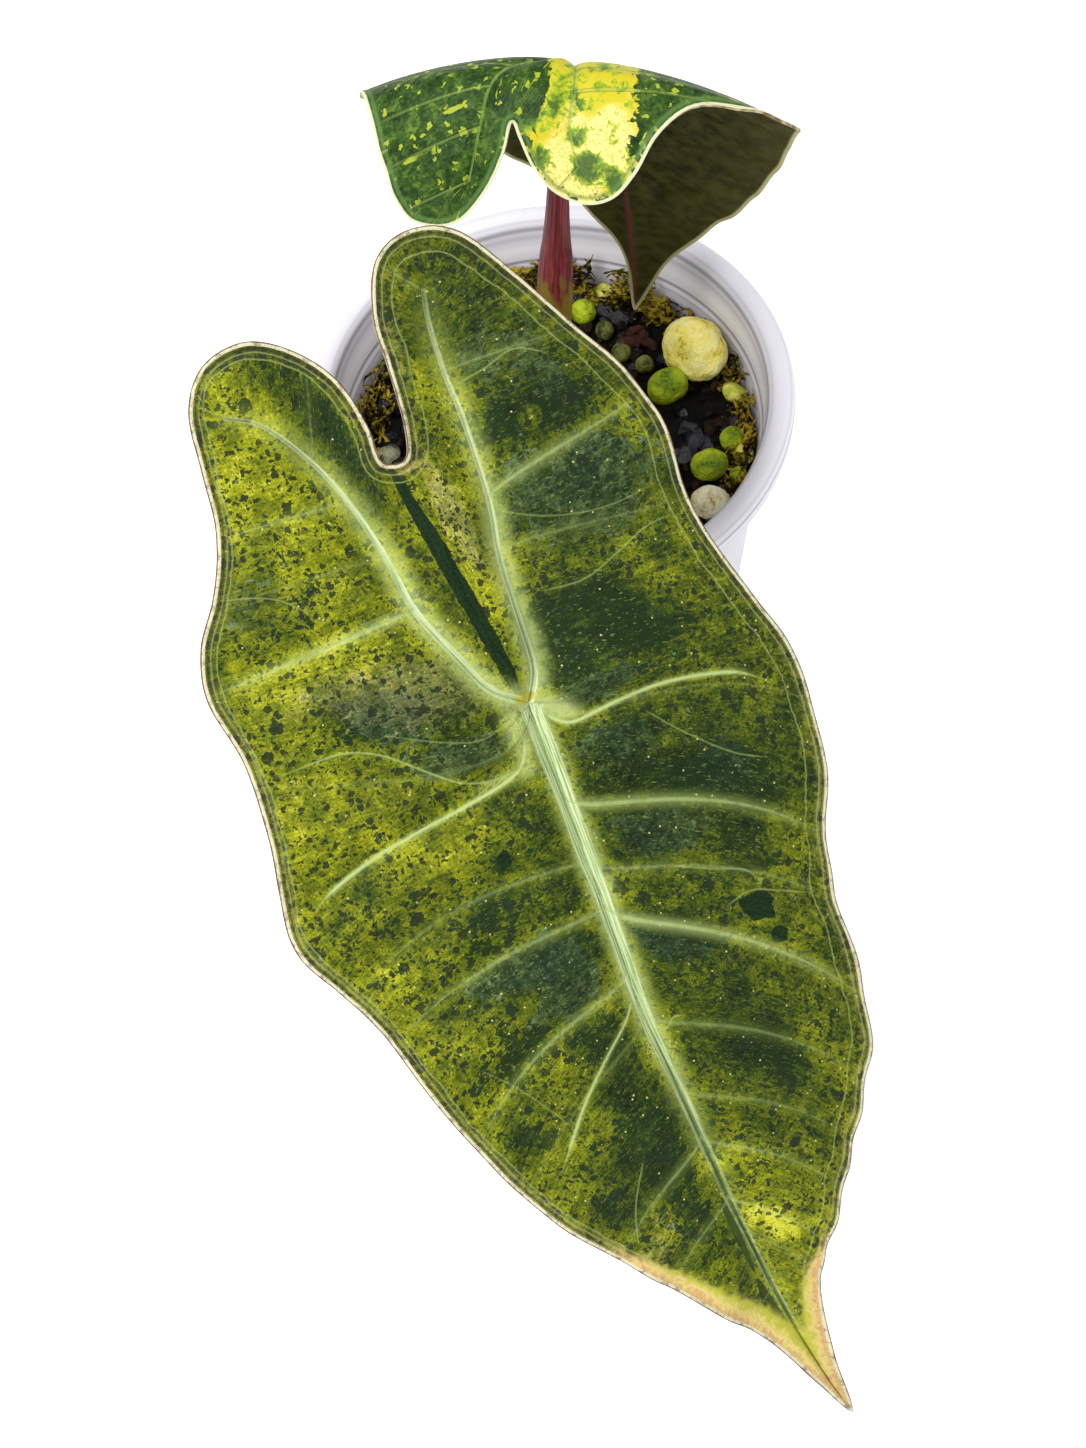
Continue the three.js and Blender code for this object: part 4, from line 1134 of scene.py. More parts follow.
# Rows lie about step mm apart, and fan_step mm where they fan out from one rib point. The valley
# over the ribs, the droop of the sides, the quilted panels and the margin's wave are heights in mm.
FRONT_LEAF = {
  "lift": lift_front,
  "step": 6.5,
  "half_width": 48,
  "droop": 5,
  "valley": 3.2,
  "valley_width": 11,
  "quilt": 1.5,
  "wave": 2.6,
  "fan_step": 11,
  "outline": [
    [-5, -53.5], [-2, -53.5], [0, -57.5], [1.5, -63], [3, -71], [4.5, -80], [9.5, -89.5], [17, -92.5],
    [26, -89], [33, -78], [41.5, -61], [47.5, -47], [48.8, -38], [47.5, -25], [48, -13], [51.2, 2],
    [54.2, 13], [54.5, 24], [51, 39], [46, 51], [42.3, 62], [41, 73], [39.7, 85], [36.5, 97],
    [30, 107.5], [23, 117], [15, 128], [8, 136.5], [4.5, 145], [2.5, 158], [2, 175], [-3, 163],
    [-8, 150], [-14.5, 138.5], [-24, 124], [-34, 108.5], [-41.5, 95], [-47, 79], [-51, 63], [-54, 47],
    [-58, 36], [-62, 25], [-60, 13], [-57, 1], [-55, -13], [-56, -27], [-53, -37], [-46.5, -45],
    [-40.5, -56], [-38, -68], [-35, -79], [-29, -85.5], [-20, -86], [-12, -80.5], [-7, -72],
    [-5.7, -62], [-6.5, -55.5],
  ],
  "ribs": {
    "mid": [
      [0, 0], [-0.5, 5], [-1.5, 20], [-2.5, 34], [-3.2, 44], [-4.4, 58], [-5, 68], [-4.8, 86],
      [-4.7, 98], [-4.5, 113], [-4.2, 122], [-3.5, 137], [-2.2, 151], [-0.3, 165], [2, 175],
    ],
    "right": [
      [0, 0], [3.6, -5.5], [5, -14.6], [6.8, -27.8], [9.9, -39.2], [12.1, -55], [12.8, -65.4],
      [14.3, -75.2], [16, -81],
    ],
    "left": [
      [0, 0], [-5.9, -5.8], [-9.3, -15], [-12.7, -26.5], [-13.3, -38], [-15, -50], [-18, -60],
      [-23.5, -70.5], [-29.5, -75],
    ],
  },
  # Knots of the rows: rib point, outline point, hook, sag, and the strength of a vein there.
  "walk": [
    ("right", [
      [0, 0, 0, 0], [1, 0.6, 0, 0], [2, 1.2, 0, 0], [3, 1.8, 0, 0], [4, 2.4, 0, 0], [5, 3.2, 0, 0],
      [6, 4.2, 0, 0], [7, 5.1, 0, 0], [8, 6, 0, 0, 0.3], [8, 8, 0, 0], [7, 8.8, 0, 0],
      [6, 9.9, 0, 0, 0.25], [5, 10.5, 0, 0], [4, 11.2, 0.08, 0, 0.65], [3, 13.2, 0.12, 0, 0.2],
      [2, 14.3, 0.1, 0], [1, 15.1, 0.02, 0], [0, 15.8, 0, 0]]),
    ("mid", [
      [0, 15.8, 0, 0], [0, 17.2, 0.17, 0.22, 0.15], [1, 17.8, 0.12, 0.24],
      [2, 19.2, 0.09, 0.23, 0.75], [3, 20.5, 0.08, 0.23, 0.3], [4, 22.3, 0.08, 0.22, 0.9],
      [5, 23.1, 0.08, 0.24], [6, 23.7, 0.08, 0.27, 0.3], [7, 24.8, 0.08, 0.28, 0.25],
      [8, 25.6, 0.08, 0.28, 0.35], [9, 26.6, 0.08, 0.28, 0.35], [10, 27.3, 0.08, 0.28, 0.25],
      [11, 28.2, 0.05, 0.2], [12, 28.9, 0.03, 0.1], [13, 29.5, 0, 0], [14, 30, 0, 0, 0.3],
      [13, 30.8, 0, 0], [12, 31.8, 0.03, 0.1], [11, 32.6, 0.05, 0.2, 0.2], [10, 33.4, 0.06, 0.2],
      [9, 33.9, 0.08, 0.22, 0.3], [8, 34.6, 0.08, 0.22, 0.35], [7, 35.3, 0.08, 0.2],
      [6, 36.1, 0.08, 0.2, 0.15], [5, 37, 0.08, 0.27, 0.5], [4, 38.7, 0.02, 0.2, 0.4],
      [3, 39.6, 0, 0.28, 0.25], [2, 40.6, 0.06, 0.14], [1, 41.4, 0.12, 0.03, 0.15],
      [0, 42, 0.18, 0], [0, 43.7, 0.25, -0.13, 0.15], [0, 44, 0.05, 0]]),
    ("left", [
      [0, 44, 0.05, 0], [1, 44.2, 0, 0], [2, 44.7, 0, 0], [3, 45.1, 0, 0, 0.85],
      [4, 46.8, 0.02, 0, 0.15], [5, 47.9, 0.05, 0, 0.4], [6, 48.8, 0, 0], [7, 49.5, 0, 0],
      [8, 50.2, 0, 0, 0.2], [8, 51.6, 0, 0], [7, 52.2, 0, 0], [6, 53.2, 0, 0, 0.15],
      [5, 54.3, 0, 0], [4, 55, 0, 0], [3, 55.5, 0, 0], [2, 55.9, 0, 0], [1, 56.3, 0, 0],
      [0, 57, 0, 0]]),
  ],
  # Half widths of the pale ribs at their start and end.
  "rib_widths": {"mid": (2.5, 0.5), "right": (1.0, 0.5), "left": (1.0, 0.5)},
  # Where the pale ribs begin and end to fade, along them from 0 to 1, and what is left.
  "rib_fades": {"mid": (0.40, 0.62, 0.30), "right": (0.35, 1, 0.15), "left": (0.4, 1, 0.3)},
  # Dark streaks with a crisp border: half width, then points.
  "streaks": [
    (1.75, (-5.6, -53), (-4.4, -41), (-3.0, -24), (-1.9, -10), (-1.2, -2)),
    (0.9, (-6, 112), (-6.1, 120), (-6, 131)), (1.4, (-5.9, 133), (-5.7, 140), (-4.6, 147), (-3.2, 153)),
    (3.4, (22, 55.5), (25.5, 58.5), (27, 61)), (2.0, (26, 64), (27, 66), (27.5, 68)),
    (1.5, (-19, 27), (-18, 25), (-17.5, 23.5)),
  ],
  # Fine side veins that no row follows: strength, then points.
  "threads": [
    (0.45, (13, -62), (20, -62.5), (27, -63.5), (33, -60)),
    (0.35, (10, -37), (16, -33), (23, -30), (32, -28), (43, -28)),
    (0.45, (11, -19), (20, -17.5), (28, -19), (36, -21), (43, -21)),
    (0.70, (-6, 10.5), (-14, 10), (-20, 7), (-26, 1), (-31, -4), (-38, -7.5), (-52, -8.5)),
    (0.35, (-5, 1), (-12, 2), (-19, -1), (-27, -6)),
    (0.40, (-31, -34), (-35, -39), (-40, -42), (-47, -44.5)),
    (0.45, (19, 54.5), (25, 54.5), (31, 58), (37, 62)),
    (0.60, (-4.6, 72.5), (-2, 72.2), (0, 70.6), (2, 71.4)),
    (1.00, (-3.6, 3.5), (-4.4, 6.5), (-6.6, 9.8), (-11, 11.6), (-20, 12.4), (-30, 13), (-40, 14),
    (-50, 16.5),
     (-56, 19.5)),
    (0.98, (1.6, 2.2), (3.2, 5.0), (6, 6.8), (11, 7.0), (17.5, 7.2), (26, 8.2), (35, 10.8), (42, 14),
     (47, 18.5)),
    (0.90, (-5.8, 63), (-8.5, 66), (-15, 71), (-21.9, 77), (-27, 82.3), (-34.4, 91)),
    (0.40, (12, 42), (20, 47), (26, 50.5), (28.5, 56)),
    (0.40, (20, 11), (25, 18), (33, 27), (40, 32)),
    (0.45, (-18, 95), (-23, 104), (-26, 113)),
    (0.35, (-40, 62), (-33, 72), (-28, 82)),
  ],
  "base": {"tone": 0.57},
  # Soft patches: x, y, half length, half width, turn in degrees, amount.
  "patches": {
    "tone": [
      (26, -62, 18, 13, 90, -0.10), (27, -54, 12, 6, 0, -0.14), (24.5, -50.5, 2.6, 2.2, 0, 0.30),
      (26, -33, 19, 11, 0, -0.12), (15, -11, 9, 7, 0, -0.26), (24, -11, 9, 6, 15, -0.20),
      (9, -14, 6, 4, 60, -0.10), (34, -12, 7, 4, 10, 0.22), (36, -2, 10, 3, 10, -0.10),
      (12, 2.5, 8, 2.5, 0, -0.12), (14, 16, 14, 6, 10, -0.12), (12, 25, 13, 5, 20, -0.18),
      (30, 28, 10, 8, 30, -0.14), (8, 35, 9, 4, 20, -0.16), (32, 60, 10, 12, 90, 0.10),
      (5, 56, 10, 5, 45, -0.16), (10, 86, 18, 12, 60, -0.14), (28, 92, 10, 6, 80, 0.10),
      (3, 123.5, 5, 3.2, 60, 0.42), (-0.5, 119, 3, 2.6, 0, 0.20), (10, 118, 9, 6, 90, 0.05),
      (-22, 30, 20, 9, 0, -0.13), (-17, 80, 14, 6, 90, -0.12), (-48, 28, 10, 6, 90, -0.03),
      (-40, 68, 14, 10, 90, -0.05), (-29, -72, 14, 9, 90, 0.12), (-28, -46, 12, 12, 90, 0.07),
      (-12, -62, 20, 4, 85, -0.16), (-9, -30, 20, 3, 80, -0.06), (0.8, -32, 20, 2.4, 90, 0.16),
      (-42, -40, 12, 9, -30, -0.08), (-35, -22, 16, 5, 0, 0.10), (-20, -10, 14, 7, 10, -0.16),
      (-46, -2, 8, 8, 0, 0.07), (-44, 8, 12, 6, 0, 0.04), (-18, 26, 2, 2, 0, -0.40),
      (-25, 50, 15, 7, 0, -0.18), (-33, 78, 12, 9, 0, -0.08), (-38, 80, 3.5, 3, 0, -0.30),
      (-20, 98, 14, 9, -45, -0.24), (-14, 120, 10, 7, -60, -0.10), (30, 32, 70, 26, 90, -0.22),
      (-13, 62, 52, 9, 92, -0.14), (-20, 1, 16, 7, 10, -0.14), (8, 75, 45, 10, 86, -0.10),
      (16, -78, 16, 11, 70, -0.09), (30, -72, 20, 7, 60, -0.10), (6, -72, 16, 3, 75, 0.10),
      (-14, -70, 20, 6, 80, -0.12), (15, -82, 14, 10, 0, -0.10), (-20, -80, 14, 8, 0, -0.08),
      (20, -8, 16, 6, 0, -0.10),
    ],
    # Grey-green patches of painted sheen, where the glossy leaf reflects the light.
    "painted_sheen_patches": [
      (-27, -10, 8.5, 5.5, 25, 0.9), (-19, 4, 10, 3, 15, 0.7), (-14, 2.5, 8, 3.4, 20, 0.8),
      (-28, 47, 10, 4, 0, 0.8), (-17, 50, 8, 7, 90, 0.9), (-20, 58, 9, 3.5, 0, 0.6),
      (26, -34, 18, 12, 0, 0.8), (25, -62, 14, 12, 90, 0.5), (12, 2.5, 10, 3, 0, 0.9),
      (12, 14, 12, 5, 10, 0.75), (12, 33, 12, 6, 25, 0.8), (30, 28, 8, 6, 30, 0.6),
      (6, 56, 11, 4.5, 45, 0.8), (-40, -42, 8, 5, -30, 0.45), (-14, -60, 10, 3, 80, 0.4),
    ],
    # Dark green fields with a ragged border.
    "deep": [
      (10, -4, 7, 3.5, 10, 0.9), (25, -51, 13, 5.5, 5, 0.8), (23.5, -50.5, 2.6, 2.4, 0, -1.2),
      (35, -40, 9, 5, 0, 0.4), (17, -9, 13, 7.5, 12, 1.3), (33, -11, 6, 3, 10, -0.6),
      (30, -2, 10, 3, 10, 0.5), (26, 29, 18, 5.5, 22, 0.75), (36, 38, 7, 4.5, 30, 0.6),
      (7, 54, 9, 4, 40, 0.7), (27, 50, 6, 3, 10, 0.6), (12, 60, 4, 2.5, 30, 0.5),
      (16, 88, 14, 4.5, 60, 0.55), (30, 84, 8, 3, 80, 0.3), (-31, -12, 10, 5, 30, 0.7),
      (-24, 34, 9, 3.5, -5, 0.55), (-26, 40, 12, 2.2, -8, 0.5), (-17, 47, 8, 3.5, -10, 0.6),
      (-29, 61, 6, 4, 20, 0.7), (-34, 66, 6, 4, 20, 0.4), (-15, 68, 9, 5, 60, 0.55),
      (-35, 81, 5, 3, 20, 0.5), (-13, 95, 15, 6, 85, 0.6), (-28, 102, 6, 2.6, 70, 0.6),
      (-13, 114, 10, 4, 70, 0.4), (-9, 137, 8, 2.4, 80, 0.3), (-30, -36, 8, 4, -20, 0.3),
      (-12, -64, 14, 2.5, 80, 0.5), (-45, 27, 8, 3, 80, 0.25),
    ],
    "ochre": [
      (0, 166, 16, 8, 95, 1.0), (-7, 152, 14, 5, 66, 1.0), (3, 150, 13, 3.6, 95, 0.9),
      (-14, 139.5, 16, 5.5, 58, 1.0), (-24, 124, 16, 4, 57, 0.8), (7, 138, 8, 3, 125, 0.7),
      (-0.5, -1.2, 2.8, 1.3, 0, 0.8), (-2, -51.5, 3.5, 1.2, 0, 0.4),
    ],
    # Tan, slightly pink tissue.
    "tan": [
      (-20, -12, 16, 8, 20, 0.8), (-40, -20, 10, 4, 0, 0.4), (1.6, -40, 14, 3.4, 88, 0.7),
      (6, -74, 14, 3.5, 100, 0.5), (-25, 118, 14, 5, 125, 0.5), (-48, -8, 8, 8, 0, 0.3),
    ],
    # Pale glow beside the ribs near the joint, and where the margin band is pale.
    "glow": [
      (5, -8, 9, 2.2, 108, 0.55), (4.2, 3.0, 5.5, 2.6, 38, 1.2), (-4.6, 4.0, 8, 3.2, 98, 1.05),
      (-10, 11, 7, 1.8, 10, 0.55),
    ],
    "pale_band": [
      (-36, 106, 60, 14, 58, 1.0), (-58, 20, 50, 9, 90, 0.7), (30, 108, 40, 8, 126, 0.8),
      (47, 50, 60, 9, 105, 0.8),
    ],
  },
}

# %% [markdown]
# ### Front leaf finish
#
# The tissue runs from near-black green to bright olive yellow. One value, the tone, picks the
# colour from a palette: patches set it roughly, and cloudy noise breaks the patches' borders.
# Over it come grey-green patches of painted sheen, where the glossy leaf reflects the light,
# dark flecks, pale specks, the veins with their light green halo and a thin painted shade line
# in their grooves, and the margin with its cream bead and thin lines beside it. The sectors
# between the veins differ in tone, with crisp borders, so a Voronoi pattern shifts the tone of each.

# %% Shared leaf finish steps
def joined(tree, x, y, stretch=(1, 1)):
    """A place made of two values, each stretched by a factor."""
    node = tree.nodes.new("ShaderNodeCombineXYZ")
    wire(tree, node.inputs["X"], times(tree, x, stretch[0]))
    wire(tree, node.inputs["Y"], times(tree, y, stretch[1]))
    return node.outputs["Vector"]


def shaken(tree, place, scale, amount):
    """A place that a noise moves about, which makes round spots uneven."""
    shake = tree.nodes.new("ShaderNodeTexNoise")
    wire(tree, shake.inputs["Vector"], place)
    wire(tree, shake.inputs["Scale"], scale)
    move = tree.nodes.new("ShaderNodeVectorMath")
    move.operation = "MULTIPLY_ADD"
    wire(tree, move.inputs[0], shake.outputs["Color"])
    move.inputs[1].default_value = (amount, amount, 0)
    wire(tree, move.inputs[2], place)
    return move.outputs["Vector"]


def add_up(tree, start, *layers):
    """Adds layers that swing about 0.5, each by its weight."""
    for layer, weight in layers:
        start = sums(tree, "MULTIPLY_ADD", sums(tree, "SUBTRACT", layer, 0.5), weight, start)
    return start


# %% Front leaf: tissue
LEAF_SHINE = 0.12

front_top, tree, surface = new_finish("front_leaf_top", roughness=0.5, Specular_IOR_Level=LEAF_SHINE)
plan = map_place(tree, "plan")
lanes = map_place(tree, "lanes", (0.9, 0.22, 1))
clouds = noise(tree, plan, 0.09, detail=5, rough=0.6)
mottle = noise(tree, plan, 0.42, detail=5, rough=0.65, warp=0.6)
grain = noise(tree, lanes, 1, detail=3, rough=0.6)
fine = noise(tree, plan, 2.0, detail=4, rough=0.8)
sectors = cells(tree, shaken(tree, plan, 0.35, 3.5), 0.13).outputs["Color"]
small_sectors = cells(tree, shaken(tree, plan, 0.8, 1.4), 0.40).outputs["Color"]

tone = add_up(tree, measured(tree, "tone"), (clouds, 0.85), (mottle, 0.95), (grain, 0.60), (fine, 1.05),
              (sectors, 0.20), (small_sectors, 0.16))
rib_power = measured(tree, "rib_power")
rib_halo = times(tree, rib_power, fade(
    tree, add_up(tree, measured(tree, "rib_far"), (mottle, 3), (grain, 3)), 4.8, 0.6))
vein_halo = times(tree, fade(tree, measured(tree, "vein_far"), 2.8, 0), measured(tree, "vein_power"))
strong_thread = sums(tree, "POWER", measured(tree, "thread_power"), 4)
thread_halo = times(tree, fade(tree, measured(tree, "thread_far"), 4.2, 0), strong_thread)
halo = sums(tree, "MAXIMUM", sums(tree, "MAXIMUM", rib_halo, measured(tree, "glow")),
            times(tree, sums(tree, "MAXIMUM", vein_halo, thread_halo), 0.95))
tone = sums(tree, "MULTIPLY_ADD", halo, 0.26, tone)
colour = palette(tree, tone, [
    (0.00, (0.002, 0.007, 0.0005)), (0.20, (0.012, 0.030, 0.001)), (0.40, (0.055, 0.080, 0.001)),
    (0.60, (0.145, 0.168, 0.002)), (0.80, (0.31, 0.325, 0.005)), (1.00, (0.60, 0.59, 0.05))])

ragged = add_up(tree, 0, (mottle, 2.2), (small_sectors, 0.55), (sectors, 0.30))
deep_field = fade(tree, sums(tree, "ADD", measured(tree, "deep"), ragged), 0.30, 0.36)
colour = lay_over(tree, times(tree, deep_field, 0.97), colour, palette(
    tree, add_up(tree, times(tree, halo, 0.3), (grain, 0.9), (fine, 1.1), (clouds, 1.0)), [
        (0.00, (0.006, 0.020, 0.002)), (0.18, (0.021, 0.048, 0.004)), (0.50, (0.09, 0.14, 0.015))]))
# Painted sheen: grey-green patches where the glossy leaf reflects the light.
sheen_amount = add_up(tree, measured(tree, "painted_sheen_patches"), (mottle, 1.5), (sectors, 0.45), (small_sectors, 0.35))
painted_sheen_mask = fade(tree, sheen_amount, 0.36, 0.56)
painted_sheen_colour = palette(tree, add_up(tree, measured(tree, "tone"), (grain, 0.7), (mottle, 1.2), (fine, 1.2),
                                  (small_sectors, 0.35)), [
    (0.05, (0.003, 0.012, 0.004)), (0.40, (0.020, 0.046, 0.015)), (0.62, (0.065, 0.105, 0.034)),
    (0.9, (0.20, 0.27, 0.10))])
colour = lay_over(tree, times(tree, painted_sheen_mask, 0.85), colour, painted_sheen_colour)
tan = fade(tree, add_up(tree, measured(tree, "tan"), (mottle, 1.2), (fine, 0.8)), 0.25, 0.75)
colour = lay_over(tree, times(tree, tan, 0.45), colour, palette(tree, tone, [
    (0.30, (0.08, 0.09, 0.030)), (0.60, (0.25, 0.24, 0.09)), (0.90, (0.50, 0.44, 0.16))]))

# %% Front leaf: flecks and specks
def seeded_spots(tree, place, scale, limit):
    """A spot in some of the cells of a Voronoi pattern, each with its own size."""
    pattern = cells(tree, place, scale)
    size = add_up(tree, pattern.outputs["Distance"], (pattern.outputs["Color"], 0.8))
    return fade(tree, size, limit, limit - SPOT_BORDER)


rough_plan = shaken(tree, plan, 0.9, 1.8)
flecks = sums(tree, "MAXIMUM", seeded_spots(tree, rough_plan, 0.68, 0.22),
              seeded_spots(tree, rough_plan, 0.24, 0.06))
dark_flecks = times(tree, fade(tree, clouds, 0.26, 0.40), flecks)
dark_flecks = sums(tree, "MAXIMUM", dark_flecks, seeded_spots(tree, rough_plan, 1.3, 0.16))
colour = lay_over(tree, times(tree, dark_flecks, 0.92), colour, (0.009, 0.020, 0.006))
dashes = blots(tree, map_place(tree, "lanes", (2.6, 0.7, 1)), 1, 0.615)
colour = lay_over(tree, times(tree, dashes, 0.36), colour, (0.34, 0.39, 0.06))
specks = cells(tree, plan, 0.50)
pale_speck = times(tree, fade(tree, specks.outputs["Distance"], 0.13, 0.07),
                   fade(tree, specks.outputs["Color"], 0.54, 0.58))
colour = lay_over(tree, times(tree, pale_speck, 0.8), colour, (0.62, 0.60, 0.20))
streak = fade(tree, add_up(tree, measured(tree, "streak"), (mottle, 0.7), (small_sectors, 0.20)), 0.0, 0.10)
colour = lay_over(tree, streak, colour, palette(
    tree, add_up(tree, 0.5, (fine, 2.0), (grain, 0.8)), [
        (0.30, (0.001, 0.008, 0.001)), (0.75, (0.009, 0.034, 0.005))]))

# %% Front leaf: ribs, veins and threads
colour = lay_over(tree, times(tree, halo, 0.55), colour,
                  lay_over(tree, halo, (0.20, 0.27, 0.02), (0.48, 0.58, 0.22)))
rib_side = measured(tree, "rib_side")
rib_place = joined(tree, rib_side, measured(tree, "rib_along"), (3.4, 12))
rib_lines = noise(tree, rib_place, 1, detail=3, rough=0.65)
rib_colour = palette(tree, rib_lines, [(0.36, (0.14, 0.22, 0.08)), (0.47, (0.37, 0.48, 0.21)),
                                       (0.59, (0.62, 0.70, 0.42))])
side_rib = fade(tree, rib_side, 8, 10)
rib_colour = lay_over(tree, times(tree, side_rib, 0.65), rib_colour, (0.60, 0.68, 0.40))
rib_core = times(tree, fade(tree, measured(tree, "rib_step"), 1.05, 0.75), rib_power)
colour = lay_over(tree, rib_core, colour, rib_colour)
lower_half = fade(tree, measured(tree, "rib_along"), 0.42, 0.56)
dark_middle = times(tree, lower_half, fade(tree, sums(tree, "ABSOLUTE", rib_side), 0.55, 0.20))
colour = lay_over(tree, times(tree, dark_middle, 0.75), colour, (0.035, 0.085, 0.030))
vein_power = measured(tree, "vein_power")
vein_width = sums(tree, "MULTIPLY_ADD", fade(tree, measured(tree, "margin_far"), 2, 30), 0.34, 0.32)
broken_vein = times(tree, bell(tree, measured(tree, "vein_far"), 0, vein_width),
                    fade(tree, mottle, 0.20, 0.52))
vein_core = times(tree, vein_power, broken_vein)
colour = lay_over(tree, times(tree, vein_core, 0.85), colour, (0.42, 0.52, 0.20))
# Painted shade: a thin dark line along the sunken groove in the middle of each vein.
vein_groove_shade = times(tree, fade(tree, measured(tree, "vein_far"), 0.16, 0.04), vein_power)
colour = lay_over(tree, times(tree, vein_groove_shade, 0.4), colour, (0.14, 0.20, 0.06))
thread_width = sums(tree, "MULTIPLY_ADD", strong_thread, 0.34, 0.30)
thread = times(tree, bell(tree, measured(tree, "thread_far"), 0, thread_width),
               measured(tree, "thread_power"))
thread_colour = lay_over(tree, strong_thread, (0.32, 0.41, 0.12), (0.44, 0.54, 0.21))
colour = lay_over(tree, thread, colour, thread_colour)

# %% Front leaf: margin and tip
margin = add_up(tree, measured(tree, "margin_far"), (mottle, 0.5))
collector = add_up(tree, measured(tree, "collector_far"), (clouds, 2.6))
band = times(tree, fade(tree, margin, 3.4, 1.8), fade(tree, mottle, 0.32, 0.60))
colour = lay_over(tree, times(tree, band, 0.42), colour,
                  lay_over(tree, measured(tree, "pale_band"), (0.055, 0.070, 0.020), (0.36, 0.36, 0.10)))
band_blots = times(tree, fade(tree, margin, 3.6, 2.8), seeded_spots(tree, rough_plan, 0.50, 0.20))
colour = lay_over(tree, times(tree, band_blots, 0.8), colour, (0.018, 0.022, 0.012))
for value, place, width, amount, line_colour in (
        (margin, 1.35, 0.28, 0.75, (0.030, 0.026, 0.010)),
        (margin, 2.0, 0.26, 0.50, (0.34, 0.36, 0.14)),
        (collector, -0.7, 0.35, 0.30, (0.030, 0.038, 0.008)),
        (collector, 0, 0.30, 0.45, (0.34, 0.41, 0.13))):
    colour = lay_over(tree, times(tree, bell(tree, value, place, width), amount), colour, line_colour)
ochre = fade(tree, add_up(tree, measured(tree, "ochre"), (mottle, 0.8)), 0.12, 0.70)
inwards = fade(tree, measured(tree, "margin_far"), 0.6, 5)
colour = lay_over(tree, times(tree, ochre, 0.88), colour, palette(
    tree, add_up(tree, inwards, (grain, 1.3), (mottle, 1.8), (fine, 1.2)), [
        (0.0, (0.58, 0.36, 0.15)), (0.35, (0.72, 0.56, 0.20)), (0.9, (0.46, 0.45, 0.05))]))
bead = lay_over(tree, fade(tree, add_up(tree, mottle, (fine, 0.6)), 0.34, 0.50), (0.30, 0.25, 0.15),
                (0.62, 0.58, 0.40))
bead = lay_over(tree, fade(tree, margin, 0.32, 0.18), bead, (0.13, 0.085, 0.035))
colour = lay_over(tree, fade(tree, margin, 0.92, 0.78), colour, bead)
wire(tree, surface.inputs["Base Color"], colour)
height = add_up(tree, times(tree, vein_core, -0.6), (grain, 0.5), (mottle, 0.6), (fine, 0.4),
                (rib_lines, 0.5))
relief_bump(tree, surface, height, 0.35 * MM)

# %% Undersides and edges
def underside(name, dark, light, vein):
    """A dull underside with a paler net of veins and a coloured midrib."""
    material, tree, surface = new_finish(name, roughness=0.6, Specular_IOR_Level=LEAF_SHINE)
    plan = map_place(tree, "plan")
    mottle = noise(tree, plan, 0.25, detail=5, rough=0.6)
    near_margin = fade(tree, add_up(tree, measured(tree, "margin_far"), (mottle, 22)), 16, 1)
    net = fade(tree, cells(tree, plan, 0.32, "DISTANCE_TO_EDGE").outputs["Distance"], 0.09, 0.02)
    colour = lay_over(tree, fade(tree, mottle, 0.3, 0.7), dark, light)
    colour = lay_over(tree, times(tree, near_margin, 0.30), colour, light)
    colour = lay_over(tree, times(tree, net, 0.22), colour, light)
    veins = times(tree, fade(tree, measured(tree, "vein_far"), 0.9, 0.3), measured(tree, "vein_power"))
    ribs = fade(tree, measured(tree, "rib_step"), 1.4, 0.8)
    colour = lay_over(tree, times(tree, veins, 0.25), colour, light)
    colour = lay_over(tree, times(tree, ribs, 0.75), colour, vein)
    colour = lay_over(tree, fade(tree, measured(tree, "margin_far"), 1.1, 0.5), colour, (0.40, 0.37, 0.18))
    wire(tree, surface.inputs["Base Color"], colour)
    relief_bump(tree, surface, sums(tree, "MULTIPLY_ADD", veins, 0.6, mottle), 0.4 * MM)
    return material


def pale_edge(name, dark, light):
    """The bead along the margin."""
    material, tree, surface = new_finish(name, roughness=0.5, Specular_IOR_Level=LEAF_SHINE)
    wire(tree, surface.inputs["Base Color"],
         lay_over(tree, fade(tree, noise(tree, object_place(tree), 0.4, detail=4), 0.4, 0.6), dark, light))
    return material


def finish_blade(piece, node, *materials):
    """Three finishes by slot: upper side, underside, edge."""
    for material in materials:
        piece.data.materials.append(material)
    finish_piece(piece, None, "blade", node, angle=60)


front_under = underside("front_leaf_underside", (0.055, 0.060, 0.018), (0.13, 0.14, 0.05),
                        (0.20, 0.12, 0.06))
cream_edge = pale_edge("cream_edge", (0.16, 0.10, 0.045), (0.46, 0.40, 0.24))
front_blade = blade("front_leaf", FRONT_LEAF, thickness=0.55)
finish_blade(front_blade, "blade_front", front_top, front_under, cream_edge)

# %% [markdown]
# ## Back leaf
#
# The smaller leaf is folded over the top of its stalk. Its two lobes hang in front with their
# upper side showing, and the long blade falls behind with its underside showing. Its plan is
# laid on a bent strip: the strip's slope is added up millimetre by millimetre from the joint.

# %% Back leaf plan
BACK_JOINT = np.array([14, 8, 203])
BACK_TURN = math.radians(18)
BACK_CREST = -9
BACK_REACH = 130
# Slopes in degrees before and behind the crest, each with the length over which it sets in.
FRONT_FALL, BACK_FALL = (68, 9), (84, 12)
# The dip at the joint: depth, place and length. The sides droop this much at this half width.
JOINT_DIP = (2.6, 5, 10)
SIDE_DROOP, HALF_WIDTH = 12, 43


def back_pitch(y):
    """The slope of the bent strip, positive where it falls to the front."""
    front = FRONT_FALL[0] * (1 - np.exp(-np.maximum(BACK_CREST - y, 0) / FRONT_FALL[1]))
    back = BACK_FALL[0] * (1 - np.exp(-np.maximum(y - BACK_CREST, 0) / BACK_FALL[1]))
    return np.radians(front - back)


